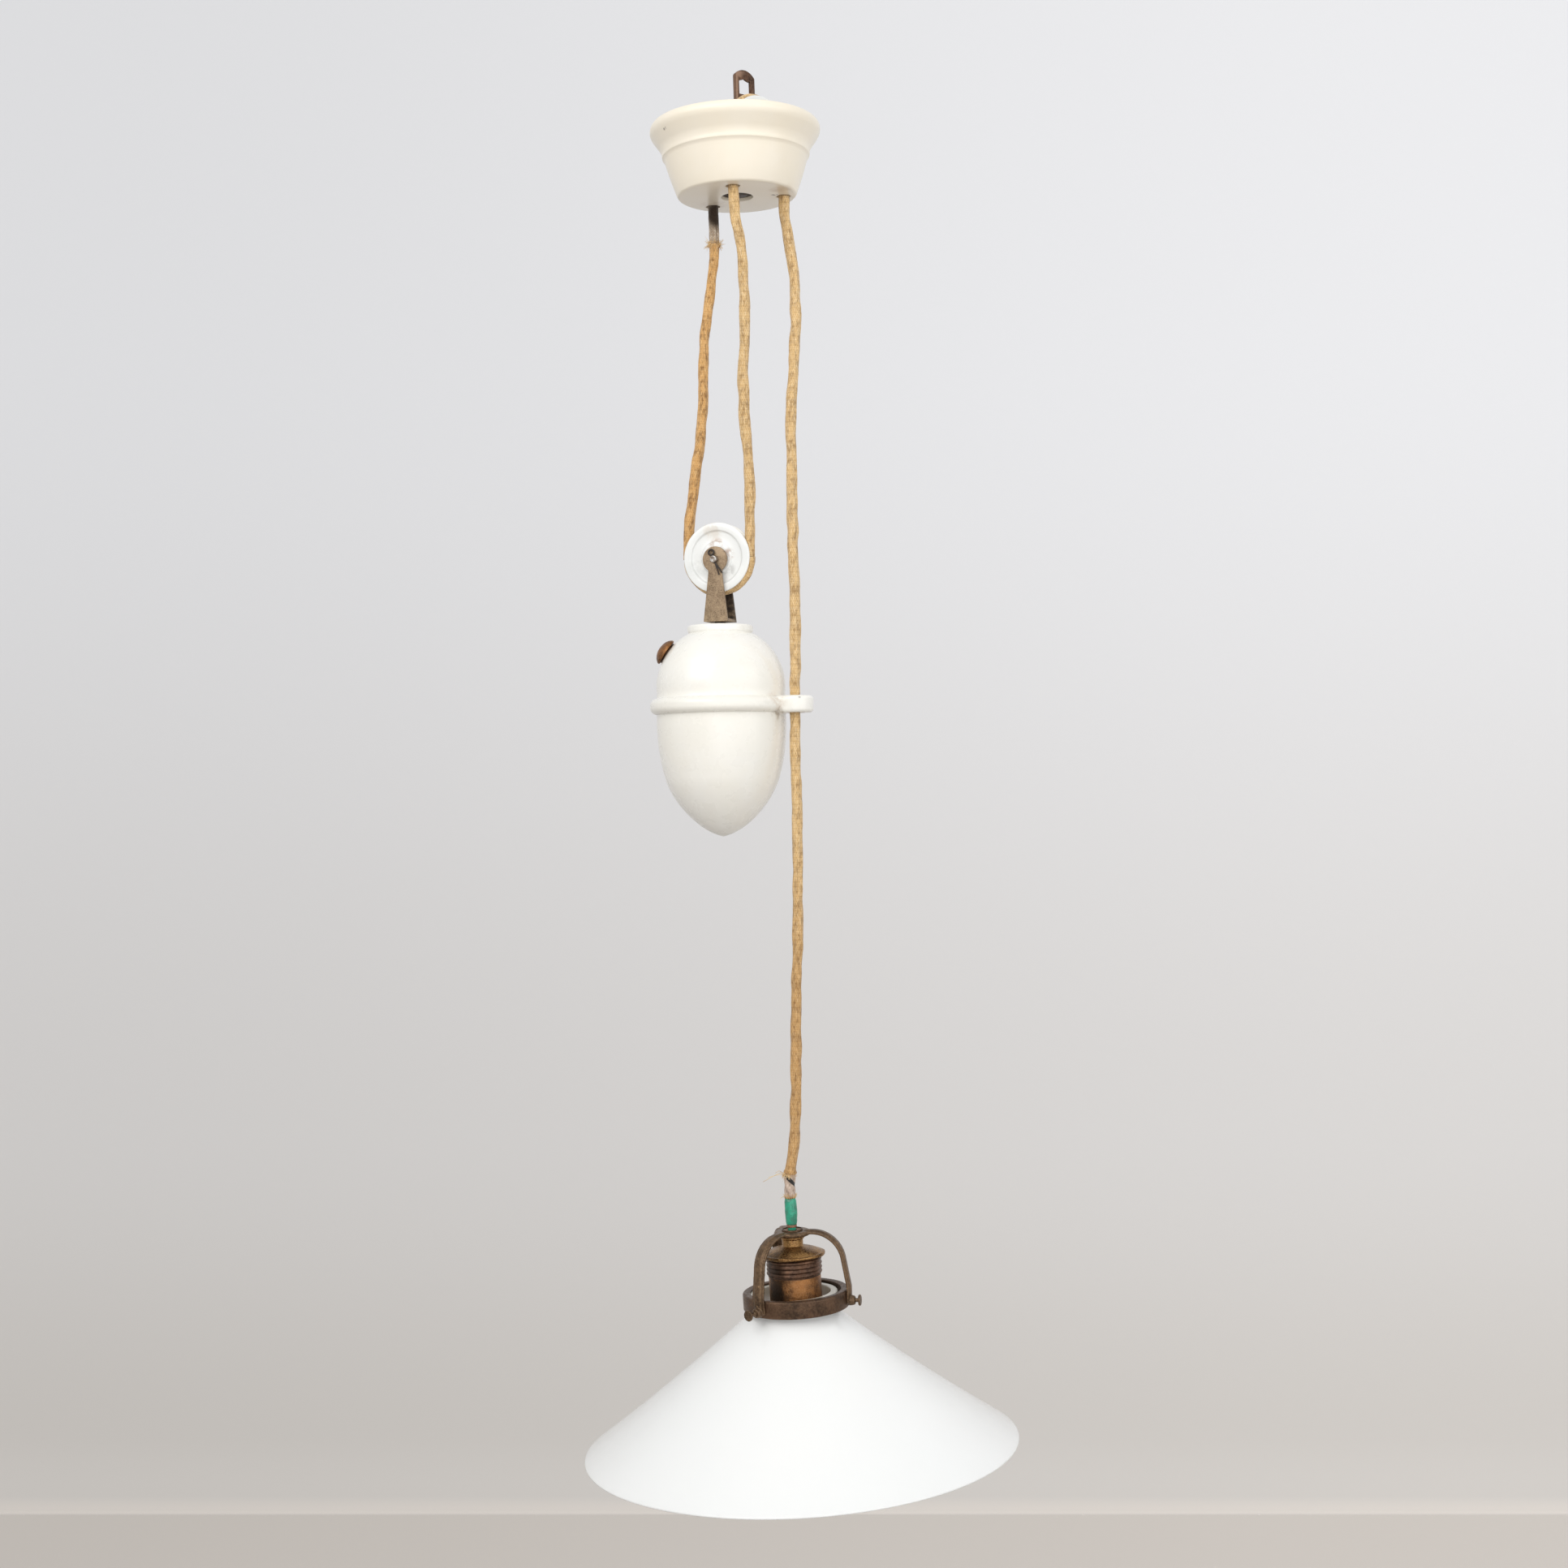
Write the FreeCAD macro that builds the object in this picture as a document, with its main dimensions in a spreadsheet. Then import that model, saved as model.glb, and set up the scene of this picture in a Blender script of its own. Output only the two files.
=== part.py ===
import FreeCAD, Part
import Sketcher
import math
import os

from FreeCAD import Placement, Rotation, Vector

# A rise and fall pendant lamp, in millimetres.
# The origin is the bearing point at the top of the hanging strap's window, +Z is up, and the
# photograph looks along +Y. The canopy, the weight and the lamp each have a frame of their own.

doc = FreeCAD.newDocument("RiseAndFallPendant")
sheet = doc.addObject("Spreadsheet::Sheet", "Sizes")

DRIVING = {
    # cord and the two like pulleys
    "cord_radius": 3.5,
    "pulley_pitch": 22.8,
    "pulley_flange": 24.5,
    "pulley_half": 5.75,
    "pulley_dish_outer": 19.3,
    "pulley_dish_inner": 11.0,
    "pulley_dish_depth": 1.3,
    "groove_radius": 3.8,
    "groove_flare": 0.4,
    "pulley_bore": 3.9,
    "axle_radius": 2.35,
    "axle_play": 1.5,
    # canopy: leans to the left, floor at level 0 of its own frame
    "canopy_lean": 1.9,
    "canopy_foot": 41.1,
    "canopy_waist": 49.0,
    "canopy_waist_level": 23.5,
    "canopy_step": 51.0,
    "canopy_step_level": 27.6,
    "canopy_lip": 59.3,
    "canopy_lip_level": 44.2,
    "canopy_height": 50.0,
    "canopy_floor": 6.0,
    "canopy_wall": 5.9,
    "bolt_recess": 11.2,
    "bolt_recess_depth": 2.6,
    "bolt_hole": 3.2,
    "cord_hole": 5.0,
    "anchor_hole_x": -17.5,
    "anchor_hole_y": 23.0,
    # place of the canopy pulley, and the turn of its plane
    "turn_x": 15.0,
    "turn_y": -12.9,
    "turn_level": 40.0,
    "turn_azimuth": 40.5,
    # bracket and strap, in the frame of the canopy pulley
    "bracket_width": 18.0,
    "bracket_gap": 6.5,
    "bracket_sheet": 2.2,
    "bracket_base": 2.5,
    "bracket_top": 47.0,
    "bracket_tail": 27.0,
    "strap_width": 17.8,
    "strap_sheet": 2.0,
    "strap_side": 1.0,
    "strap_back": 12.0,
    "strap_top": 6.0,
    "strap_crown": 11.0,
    "window_width": 10.0,
    "window_height": 11.0,
    "bearing_level": 81.1,
    # place and lean of the weight; its frame has its origin on the pulley's axle
    "weight_x": -17.2,
    "weight_y": 7.5,
    "weight_z": -332.1,
    "weight_lean": 0.87,
    "weight_azimuth": -20.0,
    "neck_radius": 22.9,
    "neck_top": 46.9,
    "neck_foot": 52.1,
    "shoulder_foot": 93.0,
    "shoulder_radius": 44.7,
    "bead_top": 97.5,
    "bead_foot": 108.9,
    "bead_curve": 5.8,
    "belly_radius": 45.4,
    "hip_level": 149.0,
    "hip_radius": 41.0,
    "tip_level": 194.4,
    "shell_wall": 5.4,
    "shot_level": 135.5,
    "lug_reach": 55.0,
    "lug_level": 103.3,
    "lug_radius": 12.4,
    "lug_half": 6.15,
    "lug_round": 2.8,
    "lug_eye": 6.5,
    "filler_azimuth": 200.0,
    "filler_rise": 34.5,
    "filler_reach": 36.8,
    "filler_level": 66.1,
    "plug_radius": 9.7,
    "plug_height": 5.8,
    "plug_curve": 11.2,
    "bush_radius": 8.0,
    "bush_bore": 5.0,
    "yoke_head": 9.0,
    "yoke_neck": 5.0,
    "yoke_throat": 7.483,
    "yoke_foot": 9.0,
    "yoke_gap": 6.95,
    "yoke_sheet": 2.0,
    "yoke_base": 43.1,
    # place and lean of the lamp; its frame has its origin on top of the gallery's hub
    "lamp_x": 33.6,
    "lamp_y": -10.0,
    "lamp_z": -797.7,
    "lamp_lean": 3.4,
    "gallery_azimuth": -12.6,
    "hub_radius": 12.5,
    "hub_depth": 3.5,
    "nipple_radius": 6.4,
    "nipple_bore": 3.4,
    "arm_width": 9.4,
    "rib_width": 3.8,
    "ring_radius": 36.6,
    "ring_inner": 33.9,
    "ring_top": 41.0,
    "ring_foot": 53.0,
    "screw_level": 48.6,
    "boss_radius": 2.8,
    "screw_radius": 1.9,
    "screw_length": 17.4,
    "screw_head": 3.8,
    "screw_neck": 1.35,
    "screw_neck_start": 12.4,
    "holder_collar": 7.3,
    "holder_lip": 21.6,
    "holder_ridge": 19.5,
    "holder_barrel": 18.0,
    "holder_foot": 60.0,
    "ridge_pitch": 3.0,
    "socket_thread": 13.4,
    "socket_length": 18.0,
    "socket_mouth": 55.4,
    "sleeve_top": 22.3,
    "sleeve_radius": 4.1,
    "shade_shift_x": -2.2,
    "shade_shift_y": 0.5,
    "shade_lip": 31.2,
    "shade_neck": 29.2,
    "shade_shoulder": 36.0,
    "shade_shoulder_level": 61.5,
    "shade_radius": 150.0,
    "shade_level": 148.5,
    "shade_curve": 1700.0,
    "glass": 3.0,
}

for row, (alias, size) in enumerate(DRIVING.items(), start=1):
    sheet.set(f"A{row}", alias)
    sheet.set(f"B{row}", str(size))
    sheet.setAlias(f"B{row}", alias)
doc.recompute()

nodes = []


def number(term):
    """The value of a sum such as 'shade_radius - glass'."""
    total = 0.0
    sign = 1
    for word in str(term).split():
        if word in "+-":
            sign = 1 if word == "+" else -1
        else:
            total += sign * (float(word) if word[0].isdigit() else sheet.get(word))
            sign = 1
    return total


def formula(term):
    """The same sum as an expression on the sheet."""
    words = [w if w in "+-" or w[0].isdigit() else "Sizes." + w for w in str(term).split()]
    return " ".join(words)


def keep(part, label, place=Placement()):
    """Names a sub-part and puts it in its place."""
    part.Label = label
    part.Placement = place
    nodes.append(part)
    return part


def place(x=0, y=0, z=0, axis=Vector(0, 0, 1), angle=0):
    return Placement(Vector(x, y, z), Rotation(axis, angle))


# ---------------------------------------------------------------- frames of the three assemblies
Y_AXIS = Vector(0, 1, 0)
X_AXIS = Vector(1, 0, 0)

turnLocal = place(number("turn_x"), number("turn_y"), 0, angle=number("turn_azimuth"))
bearingInTurn = Vector(number("strap_side"), number("strap_back") + number("strap_sheet") / 2,
                       number("bearing_level"))
canopyLean = place(axis=Y_AXIS, angle=-number("canopy_lean"))
bearingInCanopy = turnLocal.multVec(bearingInTurn)
canopyPlace = Placement(-canopyLean.multVec(bearingInCanopy), canopyLean.Rotation)
turnPlace = canopyPlace * turnLocal

weightPlace = (place(number("weight_x"), number("weight_y"), number("weight_z"), Y_AXIS,
                     -number("weight_lean")) * place(angle=number("weight_azimuth")))
lampPlace = place(number("lamp_x"), number("lamp_y"), number("lamp_z"), Y_AXIS,
                  -number("lamp_lean"))
galleryPlace = lampPlace * place(angle=number("gallery_azimuth"))


# ---------------------------------------------------------------- sketches and features
def arcBetween(start, end, radius, side):
    """A short arc that bulges to the left (side 1) or the right (side -1) of start to end."""
    chord = end - start
    left = Vector(-chord.y, chord.x, 0).normalize()
    rise = math.sqrt(max(radius ** 2 - (chord.Length / 2) ** 2, 0.0))
    centre = (start + end) / 2 - left * (side * rise)
    first, last = (start, end) if side < 0 else (end, start)
    startAngle = math.atan2(first.y - centre.y, first.x - centre.x)
    endAngle = math.atan2(last.y - centre.y, last.x - centre.x)
    circle = Part.Circle(centre, Vector(0, 0, 1), radius)
    return Part.ArcOfCircle(circle, startAngle, endAngle), side < 0


def outline(body, plane, corners, name, offset=0.0):
    """A closed sketch. A corner is (x, y), or (x, y, radius, side) where an arc leaves it."""
    sketch = body.newObject("Sketcher::SketchObject", name)
    origin = [item for item in body.Origin.OriginFeatures if item.Role == plane][0]
    sketch.AttachmentSupport = [(origin, "")]
    sketch.MapMode = "FlatFace"
    sketch.AttachmentOffset = place(0, 0, offset)
    points = [Vector(number(corner[0]), number(corner[1]), 0) for corner in corners]
    edges = []
    ends = []
    for index, corner in enumerate(corners):
        start = points[index]
        end = points[(index + 1) % len(points)]
        if len(corner) == 4:
            arc, forward = arcBetween(start, end, number(corner[2]), corner[3])
            edges.append(arc)
            ends.append((1, 2) if forward else (2, 1))
        else:
            edges.append(Part.LineSegment(start, end))
            ends.append((1, 2))
    sketch.addGeometry(edges, False)
    bound = []
    for index, corner in enumerate(corners):
        before = index - 1 if index else len(corners) - 1
        first = ends[index][0]
        sketch.addConstraint(Sketcher.Constraint("Coincident", before, ends[before][1], index, first))
        for kind, axis, term in (("DistanceX", -2, corner[0]), ("DistanceY", -1, corner[1])):
            if abs(number(term)) < 1e-9:
                sketch.addConstraint(Sketcher.Constraint("PointOnObject", index, first, axis))
                continue
            spot = Sketcher.Constraint(kind, -1, 1, index, first, number(term))
            bound.append((sketch.addConstraint(spot), term))
        if len(corner) == 4:
            size = Sketcher.Constraint("Radius", index, number(corner[2]))
            bound.append((sketch.addConstraint(size), corner[2]))
    for constraint, term in bound:
        if "_" in str(term) or not str(term).strip("+- ")[0].isdigit():
            sketch.setExpression(f"Constraints[{constraint}]", formula(term))
    return sketch


def newBody(name):
    return doc.addObject("PartDesign::Body", name)


def revolve(body, corners, name="Profile"):
    """Turns a profile in the XZ plane about Z."""
    sketch = outline(body, "XZ_Plane", corners, name)
    turn = body.newObject("PartDesign::Revolution", "Turned")
    turn.Profile = sketch
    turn.ReferenceAxis = (sketch, ["V_Axis"])
    turn.Angle = 360
    return turn


def pad(body, plane, corners, length, offset=0.0, name="Outline", reverse=False, both=False):
    feature = body.newObject("PartDesign::Pad", "Pad")
    feature.Profile = outline(body, plane, corners, name, offset)
    feature.SideType = "Symmetric" if both else "One side"
    feature.setExpression("Length", formula(length))
    feature.Reversed = reverse
    return feature


def holes(body, plane, circles, depth=None, offset=0.0, reverse=False):
    """Cuts round holes (x, y, radius), right through both ways or to a depth."""
    sketch = body.newObject("Sketcher::SketchObject", "Holes")
    origin = [item for item in body.Origin.OriginFeatures if item.Role == plane][0]
    sketch.AttachmentSupport = [(origin, "")]
    sketch.MapMode = "FlatFace"
    sketch.AttachmentOffset = place(0, 0, offset)
    for index, (x, y, radius) in enumerate(circles):
        circle = Part.Circle(Vector(number(x), number(y), 0), Vector(0, 0, 1), number(radius))
        sketch.addGeometry(circle, False)
        size = sketch.addConstraint(Sketcher.Constraint("Radius", index, number(radius)))
        sketch.setExpression(f"Constraints[{size}]", formula(radius))
        for kind, term in (("DistanceX", x), ("DistanceY", y)):
            if abs(number(term)) > 1e-9:
                spot = Sketcher.Constraint(kind, -1, 1, index, 3, number(term))
                sketch.addConstraint(spot)
    cut = body.newObject("PartDesign::Pocket", "Holes")
    cut.Profile = sketch
    if depth is None:
        cut.SideType = "Symmetric"
        cut.Type = "ThroughAll"
    else:
        cut.setExpression("Length", formula(depth))
        cut.Reversed = reverse
    return cut


def cutAway(body, plane, corners, name="Cut"):
    """Cuts an outline right through both ways."""
    cut = body.newObject("PartDesign::Pocket", name)
    cut.Profile = outline(body, plane, corners, name + "Outline")
    cut.SideType = "Symmetric"
    cut.Type = "ThroughAll"
    return cut


def cylinder(name, radius, height, at=Placement()):
    part = doc.addObject("Part::Cylinder", name)
    part.setExpression("Radius", formula(radius))
    part.setExpression("Height", formula(height))
    part.Placement = at
    return part


def box(name, length, width, height, at=Placement()):
    part = doc.addObject("Part::Box", name)
    part.setExpression("Length", formula(length))
    part.setExpression("Width", formula(width))
    part.setExpression("Height", formula(height))
    part.Placement = at
    return part


def fuse(name, parts):
    joined = doc.addObject("Part::MultiFuse", name)
    joined.Shapes = parts
    return joined


def cut(name, base, tool):
    result = doc.addObject("Part::Cut", name)
    result.Base = base
    result.Tool = tool
    return result


def annulus(name, outer, inner, height, at=Placement()):
    """A washer or a sleeve that stands on its frame's XY plane."""
    body = cylinder(name + "Body", outer, height)
    bore = cylinder(name + "Bore", inner, height)
    ring = cut(name, body, bore)
    ring.Placement = at
    return ring


# ---------------------------------------------------------------- cords
def cordWire(points):
    """Straight runs joined by tangent arcs, each as large as its two runs allow."""
    edges = []
    radii = []
    start = points[0]
    for before, here, after in zip(points, points[1:], points[2:]):
        back = (before - here).normalize()
        ahead = (after - here).normalize()
        half = (math.pi - back.getAngle(ahead)) / 2
        reach = 0.45 * min((before - here).Length, (after - here).Length)
        radius = reach / math.tan(half)
        towards = (back + ahead).normalize()
        middle = here + towards * (radius / math.cos(half) - radius)
        edges.append(Part.LineSegment(start, here + back * reach).toShape())
        edges.append(Part.Arc(here + back * reach, middle, here + ahead * reach).toShape())
        start = here + ahead * reach
        radii.append(radius)
    edges.append(Part.LineSegment(start, points[-1]).toShape())
    return Part.Wire(edges), radii


def tube(label, points, radius):
    """A cord's solid along its route, with its radii and its volume printed."""
    wire, radii = cordWire(points)
    direction = points[1] - points[0]
    section = Part.Wire([Part.Circle(points[0], direction, radius).toShape()])
    solid = wire.makePipeShell([section], True, False)
    part = doc.addObject("Part::Feature", label)
    part.Shape = solid
    share = solid.Volume / (math.pi * radius ** 2 * wire.Length)
    print(f"{label}: length {wire.Length:.1f}, least radius {min(radii):.0f}, volume share {share:.4f}")
    return keep(part, label)


CORD = number("cord_radius")
PITCH = number("pulley_pitch")
LEVEL = number("turn_level")


# ---------------------------------------------------------------- canopy
def makeCanopy():
    body = newBody("Canopy")
    revolve(body, [
        ("0", "0"),
        ("canopy_foot - 1.2", "0"),
        ("canopy_foot", "1.2", "40", -1),
        ("canopy_waist - 2.8", "canopy_waist_level - 8", "60", -1),
        ("canopy_waist", "canopy_waist_level"),
        ("canopy_step - 1.6", "canopy_step_level - 1.2"),
        ("canopy_step", "canopy_step_level - 0.4"),
        ("canopy_step + 0.4", "canopy_step_level + 4", "11", 1),
        ("canopy_lip - 0.8", "canopy_lip_level - 2.2"),
        ("canopy_lip", "canopy_lip_level", "5", -1),
        ("canopy_lip - 2.6", "canopy_height - 0.6", "2", -1),
        ("canopy_lip - 4.4", "canopy_height - 0.4"),
        ("canopy_step - 1.6", "canopy_step_level + 8"),
        ("canopy_waist - canopy_wall", "canopy_waist_level - 3", "60", 1),
        ("canopy_waist - canopy_wall - 2.4", "canopy_floor + 4.5", "6", 1),
        ("canopy_foot - 6.6", "canopy_floor"),
        ("0", "canopy_floor"),
    ])
    exitX = PITCH * math.cos(math.radians(number("turn_azimuth")))
    exitY = PITCH * math.sin(math.radians(number("turn_azimuth")))
    holes(body, "XY_Plane", [
        ("0", "0", "bolt_hole"),
        ("anchor_hole_x", "anchor_hole_y", "cord_hole"),
        (f"turn_x + {exitX:.4f}", f"turn_y + {exitY:.4f}", "cord_hole"),
        (f"turn_x - {exitX:.4f}", f"turn_y - {exitY:.4f}", "cord_hole"),
    ])
    holes(body, "XY_Plane", [("0", "0", "bolt_recess")], "bolt_recess_depth", reverse=True)
    keep(body, "canopy", canopyPlace)


def makeStrap():
    """A flat strap, bent to a foot under the central nut, with a window for the ceiling hook."""
    body = newBody("Strap")
    base = "canopy_floor + bracket_base"
    pad(body, "YZ_Plane", [
        ("strap_back", base),
        ("bracket_tail", base),
        ("bracket_tail", base + " + strap_sheet"),
        ("strap_back + strap_sheet", base + " + strap_sheet"),
        ("strap_back + strap_sheet", "bearing_level + strap_top"),
        ("strap_back", "bearing_level + strap_top"),
    ], "strap_width", both=True)
    half = number("window_width") / 2
    wide = number("strap_width") / 2
    top = "bearing_level + strap_top"
    cutAway(body, "XZ_Plane", [
        (f"0 - {half}", "bearing_level - window_height"),
        (f"{half}", "bearing_level - window_height"),
        (f"{half}", "bearing_level - 1.5", "12", 1),
        ("0", "bearing_level", "12", 1),
        (f"0 - {half}", "bearing_level - 1.5"),
    ], "Window")
    cutAway(body, "XZ_Plane", [
        (f"{wide}", top + " - 4.6"),
        (f"{wide} + 2", top + " - 4.6"),
        (f"{wide} + 2", top + " + 2"),
        (f"0 - {wide} - 2", top + " + 2"),
        (f"0 - {wide} - 2", top + " - 4.6"),
        (f"0 - {wide}", top + " - 4.6", "strap_crown", 1),
        ("0", top, "strap_crown", 1),
    ], "Crown")
    bolt = turnLocal.inverse().multVec(Vector(0, 0, 0))
    side = bolt.x - number("strap_side")
    holes(body, "XY_Plane", [(f"0 - {-side:.4f}", f"{bolt.y:.4f}", "bolt_hole")])
    keep(body, "hanging_strap", turnPlace * place(number("strap_side")))


def makeBracket():
    """The fork of the canopy pulley, with a tail that the central bolt clamps."""
    body = newBody("Bracket")
    outer = "bracket_gap + bracket_sheet"
    raised = "canopy_floor + bracket_base"
    pad(body, "YZ_Plane", [
        ("0 - bracket_gap - bracket_sheet", "canopy_floor"),
        ("bracket_tail", "canopy_floor"),
        ("bracket_tail", raised),
        (outer, raised),
        (outer, "bracket_top"),
        ("bracket_gap", "bracket_top"),
        ("bracket_gap", raised),
        ("0 - bracket_gap", raised),
        ("0 - bracket_gap", "bracket_top"),
        ("0 - bracket_gap - bracket_sheet", "bracket_top"),
    ], "bracket_width", both=True)
    bolt = turnLocal.inverse().multVec(Vector(0, 0, 0))
    holes(body, "XY_Plane", [(f"0 - {-bolt.x:.4f}", f"{bolt.y:.4f}", "bolt_hole")])
    holes(body, "XZ_Plane", [("0", "turn_level + axle_play", "axle_radius + 0.05")])
    keep(body, "pulley_bracket", turnPlace)


def makeCentralBolt():
    body = newBody("CentralBolt")
    revolve(body, [
        ("0", "0.2"),
        ("6.5", "0.2", "16", -1),
        ("10.4", "1.2"),
        ("10.6", "bolt_recess_depth"),
        ("bolt_hole - 0.2", "bolt_recess_depth"),
        ("bolt_hole - 0.2", "19"),
        ("0", "19"),
    ])
    keep(body, "central_bolt", canopyPlace)
    seat = number("canopy_floor") + number("bracket_base") + number("strap_sheet")
    nut = doc.addObject("Part::Prism", "NutBlank")
    nut.Polygon = 6
    nut.Circumradius = 5 / math.cos(math.pi / 6)
    nut.Height = 4.6
    bore = cylinder("NutBore", "bolt_hole", "6")
    flats = turnPlace.Rotation
    nutPlace = Placement(canopyPlace.multVec(Vector(0, 0, seat + 1)), flats)
    keep(cut("CentralNut", nut, bore), "central_nut", nutPlace)
    washer = annulus("CentralWasher", "5.3", "bolt_hole", "1")
    keep(washer, "central_washer", canopyPlace * place(z=seat))


def pulleyCorners():
    """A grooved pulley with dished sides, lying on its axis Z."""
    return [
        ("pulley_bore", "0 - pulley_half"),
        ("pulley_dish_inner", "0 - pulley_half"),
        ("pulley_dish_inner + 1.2", "pulley_dish_depth - pulley_half"),
        ("pulley_dish_outer - 1.2", "pulley_dish_depth - pulley_half"),
        ("pulley_dish_outer", "0 - pulley_half"),
        ("pulley_flange - 0.6", "0 - pulley_half", "0.65", -1),
        ("pulley_flange", "0.6 - pulley_half"),
        ("pulley_flange", "0 - groove_radius - groove_flare"),
        ("pulley_pitch", "0 - groove_radius", "groove_radius", 1),
        ("pulley_pitch - groove_radius", "0", "groove_radius", 1),
        ("pulley_pitch", "groove_radius"),
        ("pulley_flange", "groove_radius + groove_flare"),
        ("pulley_flange", "pulley_half - 0.6", "0.65", -1),
        ("pulley_flange - 0.6", "pulley_half"),
        ("pulley_dish_outer", "pulley_half"),
        ("pulley_dish_outer - 1.2", "pulley_half - pulley_dish_depth"),
        ("pulley_dish_inner + 1.2", "pulley_half - pulley_dish_depth"),
        ("pulley_dish_inner", "pulley_half"),
        ("pulley_bore", "pulley_half"),
    ]


UPRIGHT = place(axis=X_AXIS, angle=90)


def makePulley(label, at):
    body = newBody(label.title().replace("_", ""))
    revolve(body, pulleyCorners())
    keep(body, label, at * UPRIGHT)


def makeAxle(label, at, front, back, slant):
    """A plain pin along Y with a flat head behind and a split pin through its front end."""
    pinPlace = place(y=1.7 - front)
    tilt = place(axis=Y_AXIS, angle=slant)
    pin = cylinder(label + "Pin", "axle_radius", f"{back + front}", place(z=-back))
    head = cylinder(label + "Head", "4.4", "1.8", place(z=-back))
    solid = fuse(label + "Whole", [pin, head])
    solid.Placement = UPRIGHT
    hole = cylinder(label + "Hole", "0.8", "8", pinPlace * tilt * place(z=-4))
    keep(cut(label + "Drilled", solid, hole), label, at)

    pinLabel = label.replace("axle", "split_pin")
    eye = doc.addObject("Part::Torus", pinLabel + "Eye")
    eye.Radius1 = 1.9
    eye.Radius2 = 0.7
    eye.Placement = place(0, 0, 5.1, X_AXIS, 90)
    legs = []
    for name, lean in (("Left", 4), ("Right", -13)):
        leg = doc.addObject("Part::Cylinder", pinLabel + name)
        leg.Radius = 0.55
        leg.Height = 9.0
        leg.Placement = place(0, 0, -2.6, Y_AXIS, 180 + lean)
        legs.append(leg)
    shank = cylinder(pinLabel + "Shank", "0.75", "6.4", place(z=-2.9))
    keep(fuse(pinLabel + "Whole", [eye, shank] + legs), pinLabel, at * pinPlace * tilt)


def makeCanopyPulley():
    makePulley("canopy_pulley", turnPlace * place(z=LEVEL))
    makeAxle("canopy_axle", turnPlace * place(z=LEVEL + number("axle_play")), 12.5, 10.5, 20)


def makeAnchor():
    """The clamp that holds the cord's end over its hole, and the terminal block beside it."""
    anchorX = number("anchor_hole_x")
    anchorY = number("anchor_hole_y")
    azimuth = math.degrees(math.atan2(anchorY, anchorX))
    floor = number("canopy_floor")
    at = canopyPlace * place(anchorX, anchorY, floor, angle=azimuth)
    block = box("ClampBlock", "11", "14", "10", place(-5.5, -7, 0))
    bore = cylinder("ClampBore", "cord_radius + 0.2", "8", place(z=-0.5))
    screwHoles = []
    for index, level in enumerate((3.0, 6.5)):
        hole = cylinder(f"ClampHole{index}", "1.25", "3.5", place(0, 7.1, level, X_AXIS, 90))
        screwHoles.append(hole)
        screw = fuse(f"ClampScrewWhole{index}", [
            cylinder(f"ClampShank{index}", "1.2", "4.2", place(0, 8.0, level, X_AXIS, 90)),
            cylinder(f"ClampHead{index}", "1.7", "1.2", place(0, 8.4, level, X_AXIS, 90))])
        keep(screw, f"clamp_screw_{index + 1}", at)
    hollow = fuse("ClampHollow", [bore] + screwHoles)
    keep(cut("Clamp", block, hollow), "cord_clamp", at)

    blockPlace = canopyPlace * place(-20, -11, floor, angle=112)
    body = box("TerminalBody", "20", "13", "11", place(-10, -6.5, 0))
    ways = []
    for index, side in enumerate((-3.2, 3.2)):
        ways.append(cylinder(f"WireWay{index}", "1.4", "8", place(6, side, 4)))
        ways.append(cylinder(f"ScrewWay{index}", "1.6", "6.1", place(-4, side, 5)))
        screw = fuse(f"TerminalScrewWhole{index}", [
            cylinder(f"TerminalShank{index}", "1.5", "5", place(-4, side, 6.7)),
            cylinder(f"TerminalHead{index}", "2.3", "1.4", place(-4, side, 11.2))])
        keep(screw, f"terminal_screw_{index + 1}", blockPlace)
    keep(cut("Terminal", body, fuse("TerminalHollow", ways)), "terminal_block", blockPlace)

    up = canopyPlace.Rotation.multVec(Vector(0, 0, 1))
    for index, side in enumerate((-3.2, 3.2)):
        start = at.multVec(Vector(0, 0.7 * side, 10))
        over = blockPlace.multVec(Vector(6, side, 10)) - start
        points = [start + over * along + up * height for along, height in
                  ((0, 0), (0, 8), (0.27, 15), (0.68, 15.4), (1, 8), (1, -4))]
        tube(f"lead_wire_{index + 1}", points, 1.1)


# ---------------------------------------------------------------- weight
def makeWeightShell():
    body = newBody("WeightShell")
    wall = "shell_wall"
    revolve(body, [
        ("0", "0 - neck_top"),
        ("neck_radius - 1.6", "0 - neck_top", "1.9", 1),
        ("neck_radius", "0 - neck_top - 1.4"),
        ("neck_radius", "1.2 - neck_foot"),
        ("neck_radius - 0.8", "0 - neck_foot", "42", 1),
        ("shoulder_radius", "0 - shoulder_foot"),
        ("shoulder_radius + 0.1", "0 - bead_top", "bead_curve", 1),
        ("belly_radius - 0.3", "0 - bead_foot", "130", 1),
        ("hip_radius", "0 - hip_level", "62.9", 1),
        ("6", "2.1 - tip_level", "14", 1),
        ("0", "0 - tip_level"),
        ("0", "shell_wall - tip_level + 1", "58", -1),
        ("hip_radius - shell_wall", "0 - hip_level", "120", -1),
        ("belly_radius - shell_wall", "0 - bead_foot"),
        ("shoulder_radius - shell_wall", "0 - shoulder_foot", "38", -1),
        ("neck_radius - 4", "0 - neck_foot - 6"),
        ("neck_radius - 8", "0 - neck_foot"),
        ("0", "0 - neck_foot"),
    ])
    makeLug(body)
    holes(body, "XY_Plane", [("0", "0", "2.7")], "neck_foot")
    holes(body, "XY_Plane", [("lug_reach", "0", "lug_eye")])
    return body


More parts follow.
